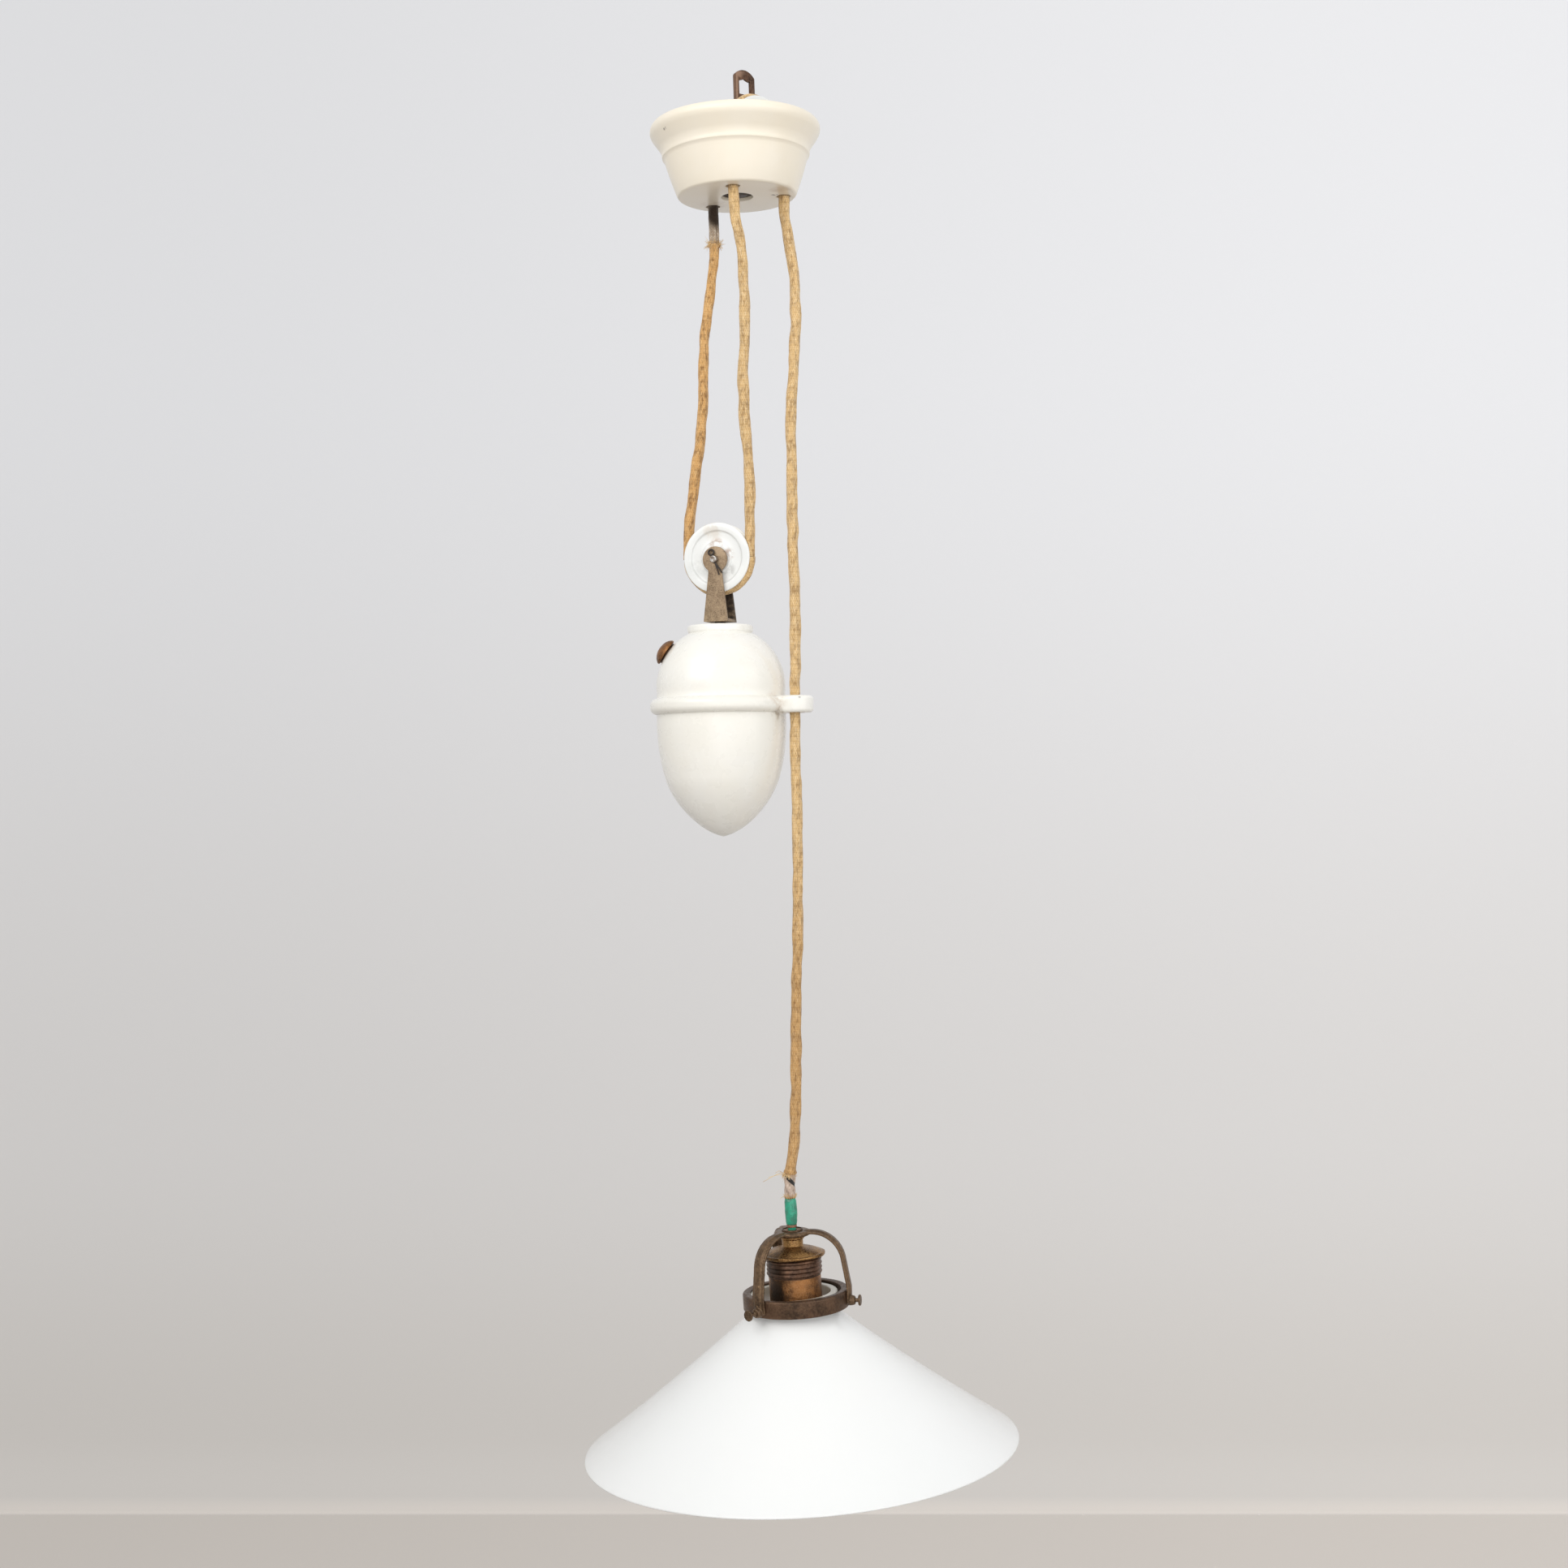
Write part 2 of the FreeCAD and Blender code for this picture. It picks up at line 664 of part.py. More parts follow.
def makeLug(body):
    """The rounded tab that the lamp's cord runs through: a bar and a disc of like section."""
    inside = "shoulder_radius - shell_wall + 1.7"
    low = "0 - lug_level - lug_half"
    high = "lug_half - lug_level"
    pad(body, "YZ_Plane", [
        ("lug_round - lug_radius", low),
        ("lug_radius - lug_round", low, "lug_round", -1),
        ("lug_radius", low + " + lug_round"),
        ("lug_radius", high + " - lug_round", "lug_round", -1),
        ("lug_radius - lug_round", high),
        ("lug_round - lug_radius", high, "lug_round", -1),
        ("0 - lug_radius", high + " - lug_round"),
        ("0 - lug_radius", low + " + lug_round", "lug_round", -1),
    ], "lug_reach - shoulder_radius + shell_wall - 1.7", offset=number(inside), name="LugBar")
    sketch = outline(body, "XZ_Plane", [
        ("lug_reach", low),
        ("lug_reach + lug_radius - lug_round", low, "lug_round", -1),
        ("lug_reach + lug_radius", low + " + lug_round"),
        ("lug_reach + lug_radius", high + " - lug_round", "lug_round", -1),
        ("lug_reach + lug_radius - lug_round", high),
        ("lug_reach", high),
    ], "LugDisc")
    reach = number("lug_reach")
    sketch.addGeometry(Part.LineSegment(Vector(reach, 0, 0), Vector(reach, 5, 0)), True)
    turn = body.newObject("PartDesign::Revolution", "LugEnd")
    turn.Profile = sketch
    turn.ReferenceAxis = (sketch, ["Axis0"])
    turn.Angle = 360


def fillerPlace():
    """A frame on the shoulder with its X axis along the filler hole, pointing out."""
    at = place(angle=number("filler_azimuth"))
    reach = Vector(number("filler_reach"), 0, -number("filler_level"))
    return at * Placement(reach, Rotation(Y_AXIS, -number("filler_rise")))


def alongX(start):
    return place(start, 0, 0, Y_AXIS, 90)


def makeWeight():
    shell = makeWeightShell()
    filler = fillerPlace()
    hole = cylinder("FillerHole", "bush_radius + 0.1", "20", filler * alongX(-12))
    keep(cut("Shell", shell, hole), "weight_shell", weightPlace)
    fillerAt = weightPlace * filler
    keep(annulus("Bush", "bush_radius", "bush_bore", "8.6"), "filler_bush", fillerAt * alongX(-7.8))

    plug = newBody("Plug")
    revolve(plug, [
        ("0", "plug_height + 1.1"),
        ("0", "0 - 7"),
        ("bush_bore - 0.1", "0 - 7"),
        ("bush_bore - 0.1", "1.1"),
        ("plug_radius", "1.1"),
        ("plug_radius", "2.1", "plug_curve", -1),
        ("0.6", "plug_height + 1.1"),
    ])
    keep(plug, "filler_plug", fillerAt * place(axis=Y_AXIS, angle=90))

    shot = newBody("Shot")
    revolve(shot, [
        ("0", "0 - shot_level"),
        ("0", "shell_wall - tip_level + 1.6", "57.6", -1),
        ("hip_radius - shell_wall - 0.4", "0 - hip_level", "120", -1),
        ("belly_radius - shell_wall - 1.9", "0 - shot_level"),
    ])
    keep(shot, "shot_filling", weightPlace)

    yoke = newBody("Yoke")
    pad(yoke, "XZ_Plane", [
        ("0 - yoke_foot", "0 - yoke_base"),
        ("yoke_foot", "0 - yoke_base"),
        ("yoke_neck", "0 - 9.5"),
        ("yoke_neck", "0 - yoke_throat", "yoke_head", -1),
        ("0", "yoke_head", "yoke_head", -1),
        ("0 - yoke_neck", "0 - yoke_throat"),
        ("0 - yoke_neck", "0 - 9.5"),
    ], "yoke_gap + yoke_gap + yoke_sheet + yoke_sheet", both=True)
    cutAway(yoke, "YZ_Plane", [
        ("0 - yoke_gap", "yoke_sheet - yoke_base"),
        ("yoke_gap", "yoke_sheet - yoke_base"),
        ("yoke_gap", "12"),
        ("0 - yoke_gap", "12"),
    ], "Between")
    holes(yoke, "XY_Plane", [("0", "0", "2.6")], "yoke_base + 5", offset=0)
    holes(yoke, "XZ_Plane", [("0", "0", "axle_radius + 0.05")])
    hung = weightPlace * place(z=-number("axle_play"))
    keep(yoke, "weight_yoke", hung)

    neck = number("neck_top")
    base = number("yoke_base") + number("axle_play")
    collar = annulus("Collar", "4", "2.7", f"{neck - base - 0.05:.3f}")
    keep(collar, "yoke_collar", weightPlace * place(z=-neck + 0.02))
    stud = cylinder("StudShank", "2.5", f"{number('neck_foot') - base + 12}",
                    place(z=-number("neck_foot") - 9))
    studHead = cylinder("StudHead", "4.6", "2.2", place(z=number("yoke_sheet") - base + 0.02))
    keep(fuse("Stud", [stud, studHead]), "yoke_bolt", weightPlace)
    below = -number("neck_foot")
    keep(annulus("YokeWasher", "7", "2.6", "1.2"), "yoke_washer", weightPlace * place(z=below - 1.25))
    nutBlank = doc.addObject("Part::Prism", "YokeNutBlank")
    nutBlank.Polygon = 6
    nutBlank.Circumradius = 4.9
    nutBlank.Height = 4
    nut = cut("YokeNut", nutBlank, cylinder("YokeNutBore", "2.6", "4"))
    keep(nut, "yoke_nut", weightPlace * place(z=below - 5.3))

    makePulley("weight_pulley", weightPlace)
    makeAxle("weight_axle", hung, 12.2, 10.9, -22)
    for label, side in (("axle_washer_front", -1), ("axle_washer_rear", 1)):
        washer = annulus(label + "Ring", "5.4", "axle_radius + 0.1", "0.7", place(z=-0.35))
        keep(washer, label, hung * place(y=6.4 * side) * UPRIGHT * place(z=-0.35))

    wrap = doc.addObject("Part::Torus", "Wrap")
    wrap.setExpression("Radius1", "Sizes.pulley_pitch")
    wrap.setExpression("Radius2", "Sizes.cord_radius")
    wrap.Angle3 = 180
    keep(wrap, "cord_pulley_wrap", weightPlace * place(axis=X_AXIS, angle=-90))


# ---------------------------------------------------------------- lamp
def makeSpider():
    """The gallery's hub with three ribbed arms, whose feet carry the thumbscrews."""
    body = newBody("Spider")
    revolve(body, [
        ("nipple_radius + 0.1", "0 - hub_depth"),
        ("hub_radius - 1", "0 - hub_depth"),
        ("hub_radius", "1 - hub_depth"),
        ("hub_radius", "0 - 1"),
        ("hub_radius - 1", "0"),
        ("nipple_radius + 0.1", "0"),
    ])
    strip = pad(body, "XZ_Plane", [
        ("9", "0 - 3"),
        ("14", "0 - 3", "19.6", 1),
        ("32", "0 - 21.6"),
        ("35.9", "0 - 38"),
        ("ring_radius + 0.2", "0 - ring_top - 0.5"),
        ("ring_radius + 0.2", "0 - ring_foot - 0.4"),
        ("ring_radius + 2.4", "0 - ring_foot - 0.4"),
        ("ring_radius + 2.4", "0 - ring_top"),
        ("38.2", "0 - 38"),
        ("34.3", "0 - 21", "21.6", -1),
        ("14", "0 - 0.6"),
        ("9", "0 - 0.6"),
    ], "arm_width", name="Strip", both=True)
    rib = pad(body, "XZ_Plane", [
        ("11", "0 - 2"),
        ("14", "0 - 2", "20.4", 1),
        ("33", "0 - 21.3"),
        ("36.9", "0 - 38"),
        ("38", "0 - ring_top - 3"),
        ("40", "0 - ring_top - 2"),
        ("39.6", "0 - 38"),
        ("35.7", "0 - 20.8", "22.8", -1),
        ("14", "0.5"),
        ("11", "0.2"),
    ], "rib_width", name="Rib", both=True)
    boss = body.newObject("PartDesign::Pad", "Boss")
    bossSketch = body.newObject("Sketcher::SketchObject", "BossRound")
    plane = [item for item in body.Origin.OriginFeatures if item.Role == "YZ_Plane"][0]
    bossSketch.AttachmentSupport = [(plane, "")]
    bossSketch.MapMode = "FlatFace"
    bossSketch.AttachmentOffset = place(0, 0, number("ring_radius") + 1)
    level = Vector(0, -number("screw_level"), 0)
    bossSketch.addGeometry(Part.Circle(level, Vector(0, 0, 1), number("boss_radius")), False)
    bossSketch.addConstraint(Sketcher.Constraint("PointOnObject", 0, 3, -2))
    spot = bossSketch.addConstraint(Sketcher.Constraint("DistanceY", -1, 1, 0, 3, level.y))
    bossSketch.setExpression(f"Constraints[{spot}]", "0 - Sizes.screw_level")
    size = bossSketch.addConstraint(Sketcher.Constraint("Radius", 0, number("boss_radius")))
    bossSketch.setExpression(f"Constraints[{size}]", "Sizes.boss_radius")
    boss.Profile = bossSketch
    boss.Length = 4
    hole = holes(body, "YZ_Plane", [("0", "0 - screw_level", "screw_radius + 0.05")], "12",
                 offset=number("ring_radius") + 8)
    pattern = body.newObject("PartDesign::PolarPattern", "Arms")
    pattern.Originals = [strip, rib, boss, hole]
    pattern.Axis = (body.Origin.OriginFeatures[2], [""])
    pattern.Angle = 360
    pattern.Occurrences = 3
    body.Tip = pattern
    keep(body, "gallery_spider", galleryPlace)


def makeRing():
    body = newBody("Ring")
    revolve(body, [
        ("ring_inner", "0 - ring_top - 0.5"),
        ("ring_inner + 0.5", "0 - ring_top"),
        ("ring_radius - 0.6", "0 - ring_top"),
        ("ring_radius", "0 - ring_top - 0.6"),
        ("ring_radius", "0.6 - ring_foot"),
        ("ring_radius - 0.6", "0 - ring_foot"),
        ("ring_inner", "0 - ring_foot"),
    ])
    hole = holes(body, "YZ_Plane", [("0", "0 - screw_level", "screw_radius + 0.05")], "ring_radius + 2",
                 reverse=True)
    pattern = body.newObject("PartDesign::PolarPattern", "Holes3")
    pattern.Originals = [hole]
    pattern.Axis = (body.Origin.OriginFeatures[2], [""])
    pattern.Angle = 360
    pattern.Occurrences = 3
    body.Tip = pattern
    keep(body, "gallery_ring", galleryPlace)


def makeThumbscrews():
    """Each screw stops a little short of the glass, which hangs off the ring's centre."""
    shift = Vector(number("shade_shift_x"), number("shade_shift_y"), 0)
    for index in range(3):
        azimuth = math.radians(number("gallery_azimuth") + 120 * index)
        out = Vector(math.cos(azimuth), math.sin(azimuth), 0)
        aside = shift.x * out.y - shift.y * out.x
        glassReach = shift.dot(out) + math.sqrt(number("shade_neck") ** 2 - aside ** 2)
        body = newBody(f"Thumbscrew{index + 1}")
        revolve(body, [
            ("0", "0"),
            ("screw_radius - 0.5", "0"),
            ("screw_radius", "0.5"),
            ("screw_radius", "screw_neck_start"),
            ("screw_neck", "screw_neck_start + 0.5"),
            ("screw_neck", "screw_length - 0.9"),
            ("screw_head - 0.5", "screw_length - 0.9", "0.6", -1),
            ("screw_head", "screw_length - 0.4"),
            ("screw_head", "screw_length + 0.4", "0.6", -1),
            ("screw_head - 0.5", "screw_length + 0.9"),
            ("0", "screw_length + 0.9"),
        ])
        at = lampPlace * place(angle=math.degrees(azimuth))
        at = at * place(glassReach + 0.35, 0, -number("screw_level"), Y_AXIS, 90)
        keep(body, f"thumbscrew_{index + 1}", at)


def makeEntry():
    """The sleeve on the cord's end, and the nipple that carries the gallery and the holder."""
    sleeve = newBody("Sleeve")
    revolve(sleeve, [
        ("0", "0 - 1.5"),
        ("2.7", "0 - 1.5"),
        ("2.9", "4.3"),
        ("sleeve_radius - 0.3", "4.4"),
        ("sleeve_radius", "6", "70", -1),
        ("sleeve_radius - 0.3", "sleeve_top - 1"),
        ("sleeve_radius - 0.8", "sleeve_top"),
        ("0", "sleeve_top"),
    ])
    keep(sleeve, "cord_sleeve", lampPlace)
    keep(annulus("Band", "3.5", "3.0", "1.7"), "sleeve_band", lampPlace * place(z=2.3))
    nipple = annulus("Nipple", "nipple_radius", "nipple_bore", "12")
    keep(nipple, "hub_nipple", lampPlace * place(z=-11.4))
    ringNut = annulus("TopRing", "7.3", "nipple_radius + 0.1", "1.1")
    keep(ringNut, "nipple_ring", lampPlace * place(z=0.03))
    under = annulus("UnderNut", "8.2", "nipple_radius + 0.1", "1.9")
    keep(under, "nipple_nut", lampPlace * place(z=-5.5))


def makeHolder():
    cap = newBody("Cap")
    revolve(cap, [
        ("nipple_radius + 0.1", "0 - 5.8"),
        ("holder_collar", "0 - 5.8"),
        ("holder_collar", "0 - 10.6"),
        ("holder_collar + 0.7", "0 - 11.2", "40", 1),
        ("holder_lip - 2", "0 - 15"),
        ("holder_lip - 0.4", "0 - 15.4", "1.4", 1),
        ("holder_lip - 0.4", "0 - 17.6"),
        ("holder_ridge", "0 - 18.2"),
        ("holder_ridge - 1.2", "0 - 18.2"),
        ("holder_ridge - 1.2", "0 - 16.4"),
        ("nipple_radius + 2", "0 - 12.6"),
        ("nipple_radius + 0.1", "0 - 12.4"),
    ])
    keep(cap, "holder_cap", lampPlace)

    corners = [("holder_barrel - 1", "0 - 18.3")]
    for index in range(4):
        crest = 18.5 + number("ridge_pitch") * index
        corners.append(("holder_ridge - 1.1", f"0 - {crest}", "1.7", 1))
    corners.append(("holder_ridge - 1.1", "0 - 30.5"))
    corners.append(("holder_barrel - 1", "0 - 30.5"))
    threaded = newBody("Threaded")
    revolve(threaded, corners)
    keep(threaded, "holder_shell", lampPlace)

    barrel = newBody("Barrel")
    revolve(barrel, [
        ("holder_barrel", "0 - 30.7"),
        ("holder_barrel", "1 - holder_foot"),
        ("holder_barrel + 0.6", "0 - holder_foot"),
        ("holder_barrel - 1", "0 - holder_foot"),
        ("holder_barrel - 1", "0 - 30.7"),
    ])
    keep(barrel, "holder_barrel", lampPlace)

    insert = newBody("Insert")
    revolve(insert, [
        ("0", "0 - 20"),
        ("holder_barrel - 1.3", "0 - 20"),
        ("holder_barrel - 1.3", "3 - holder_foot"),
        ("socket_thread + 0.9", "3 - holder_foot"),
        ("socket_thread + 0.9", "0 - 33"),
        ("0", "0 - 33"),
    ])
    keep(insert, "socket_insert", lampPlace)
    threaded = annulus("ScrewShell", "socket_thread + 0.6", "socket_thread", "socket_length")
    keep(threaded, "screw_shell", lampPlace * place(z=-number("socket_mouth")))
    contact = fuse("ContactWhole", [
        cylinder("ContactPad", "5", "0.8", place(z=-33.9)),
        cylinder("ContactTip", "2.6", "2", place(z=-35.8))])
    keep(contact, "centre_contact", lampPlace)
    for index, side in enumerate((-1, 1)):
        screw = cylinder(f"WireScrew{index}", "2.4", "1.8")
        keep(screw, f"wire_screw_{index + 1}", lampPlace * place(x=9.5 * side, z=-19.9))


def makeShade():
    body = newBody("Shade")
    slope = math.atan2(number("shade_radius") - number("shade_shoulder"),
                       number("shade_level") - number("shade_shoulder_level"))
    inX = number("glass") * math.cos(slope)
    inZ = number("glass") * math.sin(slope)
    revolve(body, [
        ("shade_lip - 0.8", "0 - ring_top - 1.5"),
        ("shade_lip", "0 - ring_top - 2.2"),
        ("shade_lip", "0 - ring_top - 4"),
        ("shade_neck", "0 - ring_top - 5.4"),
        ("shade_neck", "0 - ring_foot - 2.4", "8", -1),
        ("shade_shoulder", "0 - shade_shoulder_level", "shade_curve", -1),
        ("shade_radius - 0.1", "0.9 - shade_level", "1.3", 1),
        ("shade_radius - 0.3", "0 - shade_level", "1.3", 1),
        (f"shade_radius - {inX + 0.9:.4f}", "0.4 - shade_level", "shade_curve", 1),
        (f"shade_shoulder - {inX:.4f}", f"0 - shade_shoulder_level - {inZ:.4f}", "9", 1),
        ("shade_neck - glass", "0 - ring_foot - 3.4"),
        ("shade_neck - glass", "0 - ring_top - 1.9"),
        ("shade_neck - glass + 0.5", "0 - ring_top - 1.5"),
    ])
    keep(body, "glass_shade", lampPlace * place(number("shade_shift_x"), number("shade_shift_y")))


# ---------------------------------------------------------------- cord routes
# Free stretches as photographed, in the object's frame. Each first and last run follows the
# straight leg that it meets.
ANCHOR_FALL = [(-21.0, 24.5, -107.8), (-22.7, 24.1, -130.9), (-26.3, 23.3, -156.9),
               (-28.7, 22.4, -181.9), (-28.9, 21.3, -209.8), (-29.6, 20.2, -236.0),
               (-32.8, 18.6, -260.8), (-36.2, 16.9, -288.4)]
RETURN_FALL = [(-1.6, -23.6, -120.0), (0.7, -19.4, -148.3), (1.3, -16.3, -175.7),
               (-0.4, -13.2, -203.6), (0.2, -9.8, -231.5), (2.7, -6.3, -258.8),
               (5.0, -2.6, -286.3)]
LAMP_FALL = [(31.5, 2.6, -112.0), (35.4, -1.3, -139.0), (36.3, -5.0, -168.0),
             (34.8, -8.3, -198.0), (32.8, -10.6, -232.0), (33.0, -11.4, -270.0),
             (34.0, -11.7, -314.0), (35.5, -11.2, -362.0), (35.6, -10.9, -408.0),
             (35.6, -11.4, -452.0), (36.9, -11.9, -500.0), (37.4, -11.6, -549.0),
             (37.6, -10.8, -598.0), (36.3, -10.2, -645.0), (36.2, -10.6, -688.0),
             (36.1, -10.4, -720.0), (34.7, -10.0, -744.0)]


def vectors(points):
    return [Vector(*point) for point in points]


def makeCords():
    start = Vector(number("anchor_hole_x"), number("anchor_hole_y"), 0)
    left = Vector(-PITCH, 0, 0)
    right = Vector(PITCH, 0, 0)
    rise = Vector(0, 0, 22)
    tube("cord_anchor_fall", [canopyPlace.multVec(start + Vector(0, 0, 13)),
                              canopyPlace.multVec(start - Vector(0, 0, 6))]
         + vectors(ANCHOR_FALL) + [weightPlace.multVec(left + rise), weightPlace.multVec(left)], CORD)
    tube("cord_return_fall", [turnPlace.multVec(left), turnPlace.multVec(left - Vector(0, 0, 18))]
         + vectors(RETURN_FALL) + [weightPlace.multVec(right + rise), weightPlace.multVec(right)],
         CORD)
    top = Vector(0, 0, number("sleeve_top"))
    tube("cord_lamp_fall", [turnPlace.multVec(right), turnPlace.multVec(right - Vector(0, 0, 14))]
         + vectors(LAMP_FALL) + [lampPlace.multVec(top + Vector(0, 0, 14)),
                                 lampPlace.multVec(top + Vector(0, 0, 0.02))], CORD)
    legs = [Part.LineSegment(left, left + Vector(0, 0, LEVEL)).toShape(),
            Part.Arc(left + Vector(0, 0, LEVEL), Vector(0, 0, LEVEL + PITCH),
                     right + Vector(0, 0, LEVEL)).toShape(),
            Part.LineSegment(right + Vector(0, 0, LEVEL), right).toShape()]
    section = Part.Wire([Part.Circle(left, Vector(0, 0, 1), CORD).toShape()])
    turn = doc.addObject("Part::Feature", "Turn")
    turn.Shape = Part.Wire(legs).makePipeShell([section], True, False)
    keep(turn, "cord_canopy_turn", turnPlace)


makeCanopy()
makeStrap()
makeBracket()
makeCentralBolt()
makeCanopyPulley()
makeAnchor()
makeWeight()
makeSpider()
makeRing()
makeThumbscrews()
makeEntry()
makeHolder()
makeShade()
makeCords()

doc.recompute()
for item in doc.Objects:
    if "Invalid" in item.State or "Error" in item.State:
        raise RuntimeError(f"{item.Name} ({item.Label}) failed: {item.State}")
for part in nodes:
    if part.Shape.isNull() or not part.Shape.isValid() or len(part.Shape.Solids) != 1:
        raise RuntimeError(f"{part.Label} is not one valid solid")

os.makedirs("parts", exist_ok=True)
for part in nodes:
    part.Shape.exportStep(f"parts/{part.Label}.step")
print(f"{len(nodes)} parts written")
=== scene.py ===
import math
import random

import bmesh
import bpy
from mathutils import Matrix, Vector, noise


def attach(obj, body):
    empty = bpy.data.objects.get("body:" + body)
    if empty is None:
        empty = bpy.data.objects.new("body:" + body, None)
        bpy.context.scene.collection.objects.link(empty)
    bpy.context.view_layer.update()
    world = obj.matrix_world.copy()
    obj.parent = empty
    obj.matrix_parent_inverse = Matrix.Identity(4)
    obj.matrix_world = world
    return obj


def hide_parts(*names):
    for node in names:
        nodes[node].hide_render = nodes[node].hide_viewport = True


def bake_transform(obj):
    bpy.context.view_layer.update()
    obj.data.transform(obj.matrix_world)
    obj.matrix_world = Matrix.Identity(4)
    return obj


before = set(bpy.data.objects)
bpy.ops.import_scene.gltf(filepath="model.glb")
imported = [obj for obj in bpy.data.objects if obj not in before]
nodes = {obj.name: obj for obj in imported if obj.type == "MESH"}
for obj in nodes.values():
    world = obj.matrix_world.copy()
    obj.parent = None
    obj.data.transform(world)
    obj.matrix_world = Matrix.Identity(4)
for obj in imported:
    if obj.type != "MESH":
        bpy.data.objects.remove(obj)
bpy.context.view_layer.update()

# Where the assemblies stand, in millimetres and degrees, as in the frame.
mm = 0.001
places = {
    "canopyLean": 1.9,
    "canopyPulley": (15.0, -12.9),
    "canopyPulleyTurn": 40.5,
    "canopyPulleyLevel": 40.0,
    "bearing": (1.0, 13.0, 81.1),
    "weight": (-17.2, 7.5, -332.1),
    "weightLean": 0.87,
    "weightTurn": -20.0,
    "lamp": (33.6, -10.0, -797.7),
    "lampLean": 3.4,
    "galleryTurn": -12.6,
    "shadeShift": (-2.2, 0.5, 0.0),
}


def shift(x, y, z=0.0):
    return Matrix.Translation(Vector((x, y, z)) * mm)


def turn(degrees, axis="Z"):
    return Matrix.Rotation(math.radians(degrees), 4, axis)


def placed(name, data):     # an object in the scene
    piece = bpy.data.objects.new(name, data)
    bpy.context.scene.collection.objects.link(piece)
    return piece


pulleyInCanopy = shift(*places["canopyPulley"]) @ turn(places["canopyPulleyTurn"])
canopyLean = turn(-places["canopyLean"], "Y")
bearing = canopyLean @ pulleyInCanopy @ (Vector(places["bearing"]) * mm)
canopyPlace = Matrix.Translation(-bearing) @ canopyLean
turnPlace = canopyPlace @ pulleyInCanopy
weightPlace = shift(*places["weight"]) @ turn(-places["weightLean"], "Y") @ turn(places["weightTurn"])
lampPlace = shift(*places["lamp"]) @ turn(-places["lampLean"], "Y")
galleryPlace = lampPlace @ turn(places["galleryTurn"])
shadePlace = lampPlace @ shift(*places["shadeShift"])

view = {"place": (0.028, -1.475, -0.4942), "lens": 48.73, "shiftY": 0.0041}
camera = placed("camera", bpy.data.cameras.new("camera"))
camera.location = view["place"]
camera.rotation_euler = (math.radians(90), 0, 0)
camera.data.lens = view["lens"]
camera.data.sensor_width = 36
camera.data.shift_y = view["shiftY"]
camera.data.clip_start = 0.01
bpy.context.scene.camera = camera
print("camera placed")


def feed(tree, socket, value):
    if isinstance(value, bpy.types.NodeSocket):
        tree.links.new(value, socket)
        return
    if hasattr(socket.default_value, "__len__"):
        value = tuple(value) if hasattr(value, "__len__") else (value,) * 3
        value = value + (1.0,) * (len(socket.default_value) - len(value))
    socket.default_value = value


def addNode(tree, kind, settings=None, **sockets):
    node = tree.nodes.new("ShaderNode" + kind)
    for name, value in (settings or {}).items():
        setattr(node, name, value)
    for name, value in sockets.items():
        feed(tree, node.inputs[name], value)
    return node


def newMaterial(name, **sockets):
    material = bpy.data.materials.new(name)
    material.use_nodes = True
    tree = material.node_tree
    shader = tree.nodes["Principled BSDF"]
    for socket, value in sockets.items():
        shader.inputs[socket.replace("_", " ")].default_value = value
    return material, tree, shader


def coords(tree, kind="Object"):
    return tree.nodes.new("ShaderNodeTexCoord").outputs[kind]


def partsOf(tree, vector):
    return addNode(tree, "SeparateXYZ", None, Vector=vector).outputs


def stretched(tree, vector, scale):
    return addNode(tree, "Mapping", None, Vector=vector, Scale=scale).outputs[0]


def cloud(tree, vector, scale, detail=3.0, rough=0.55, distortion=0.0):
    return addNode(tree, "TexNoise", None, Vector=vector, Scale=scale, Detail=detail,
                   Roughness=rough, Distortion=distortion).outputs["Fac"]


def calc(tree, kind, *values):
    node = addNode(tree, "Math", {"operation": kind})
    for socket, value in zip(node.inputs, values):
        feed(tree, socket, value)
    return node.outputs[0]


def rise(tree, value, low, high, start=0.0, end=1.0):
    node = addNode(tree, "MapRange", {"interpolation_type": "SMOOTHSTEP"})
    for socket, number in zip(node.inputs, (value, low, high, start, end)):
        feed(tree, socket, number)
    return node.outputs["Result"]


def blended(tree, share, first, second, kind="MIX"):
    node = addNode(tree, "Mix", {"data_type": "RGBA", "blend_type": kind})
    feed(tree, node.inputs[0], share)
    feed(tree, node.inputs[6], first)
    feed(tree, node.inputs[7], second)
    return node.outputs[2]


def bump(tree, shader, height, strength, distance):
    node = addNode(tree, "Bump", None, Height=height, Strength=strength, Distance=distance)
    feed(tree, shader.inputs["Normal"], node.outputs[0])


def spot(tree, vector, centre, size, soft=0.6):     # 1 in a soft ball about a point, 0 outside
    node = addNode(tree, "VectorMath", {"operation": "DISTANCE"})
    feed(tree, node.inputs[0], vector)
    feed(tree, node.inputs[1], centre)
    return rise(tree, node.outputs["Value"], size * (1 - soft), size, 1.0, 0.0)


# the marks are real stains and also patches of painted shade, as each look lists them
def withStainsAndShade(tree, place, look, tone, patchy=0.0):      # soft marks at chosen points
    for centre, size, colour, share in look.get("stainsAndShade", ()):
        mark = spot(tree, place, centre, size)
        if patchy:
            patches = rise(tree, cloud(tree, place, 0.9 / size, 4, 0.7), patchy, 0.6)
            mark = calc(tree, "MULTIPLY", mark, patches)
        tone = blended(tree, calc(tree, "MULTIPLY", mark, share), tone, colour)
    return tone


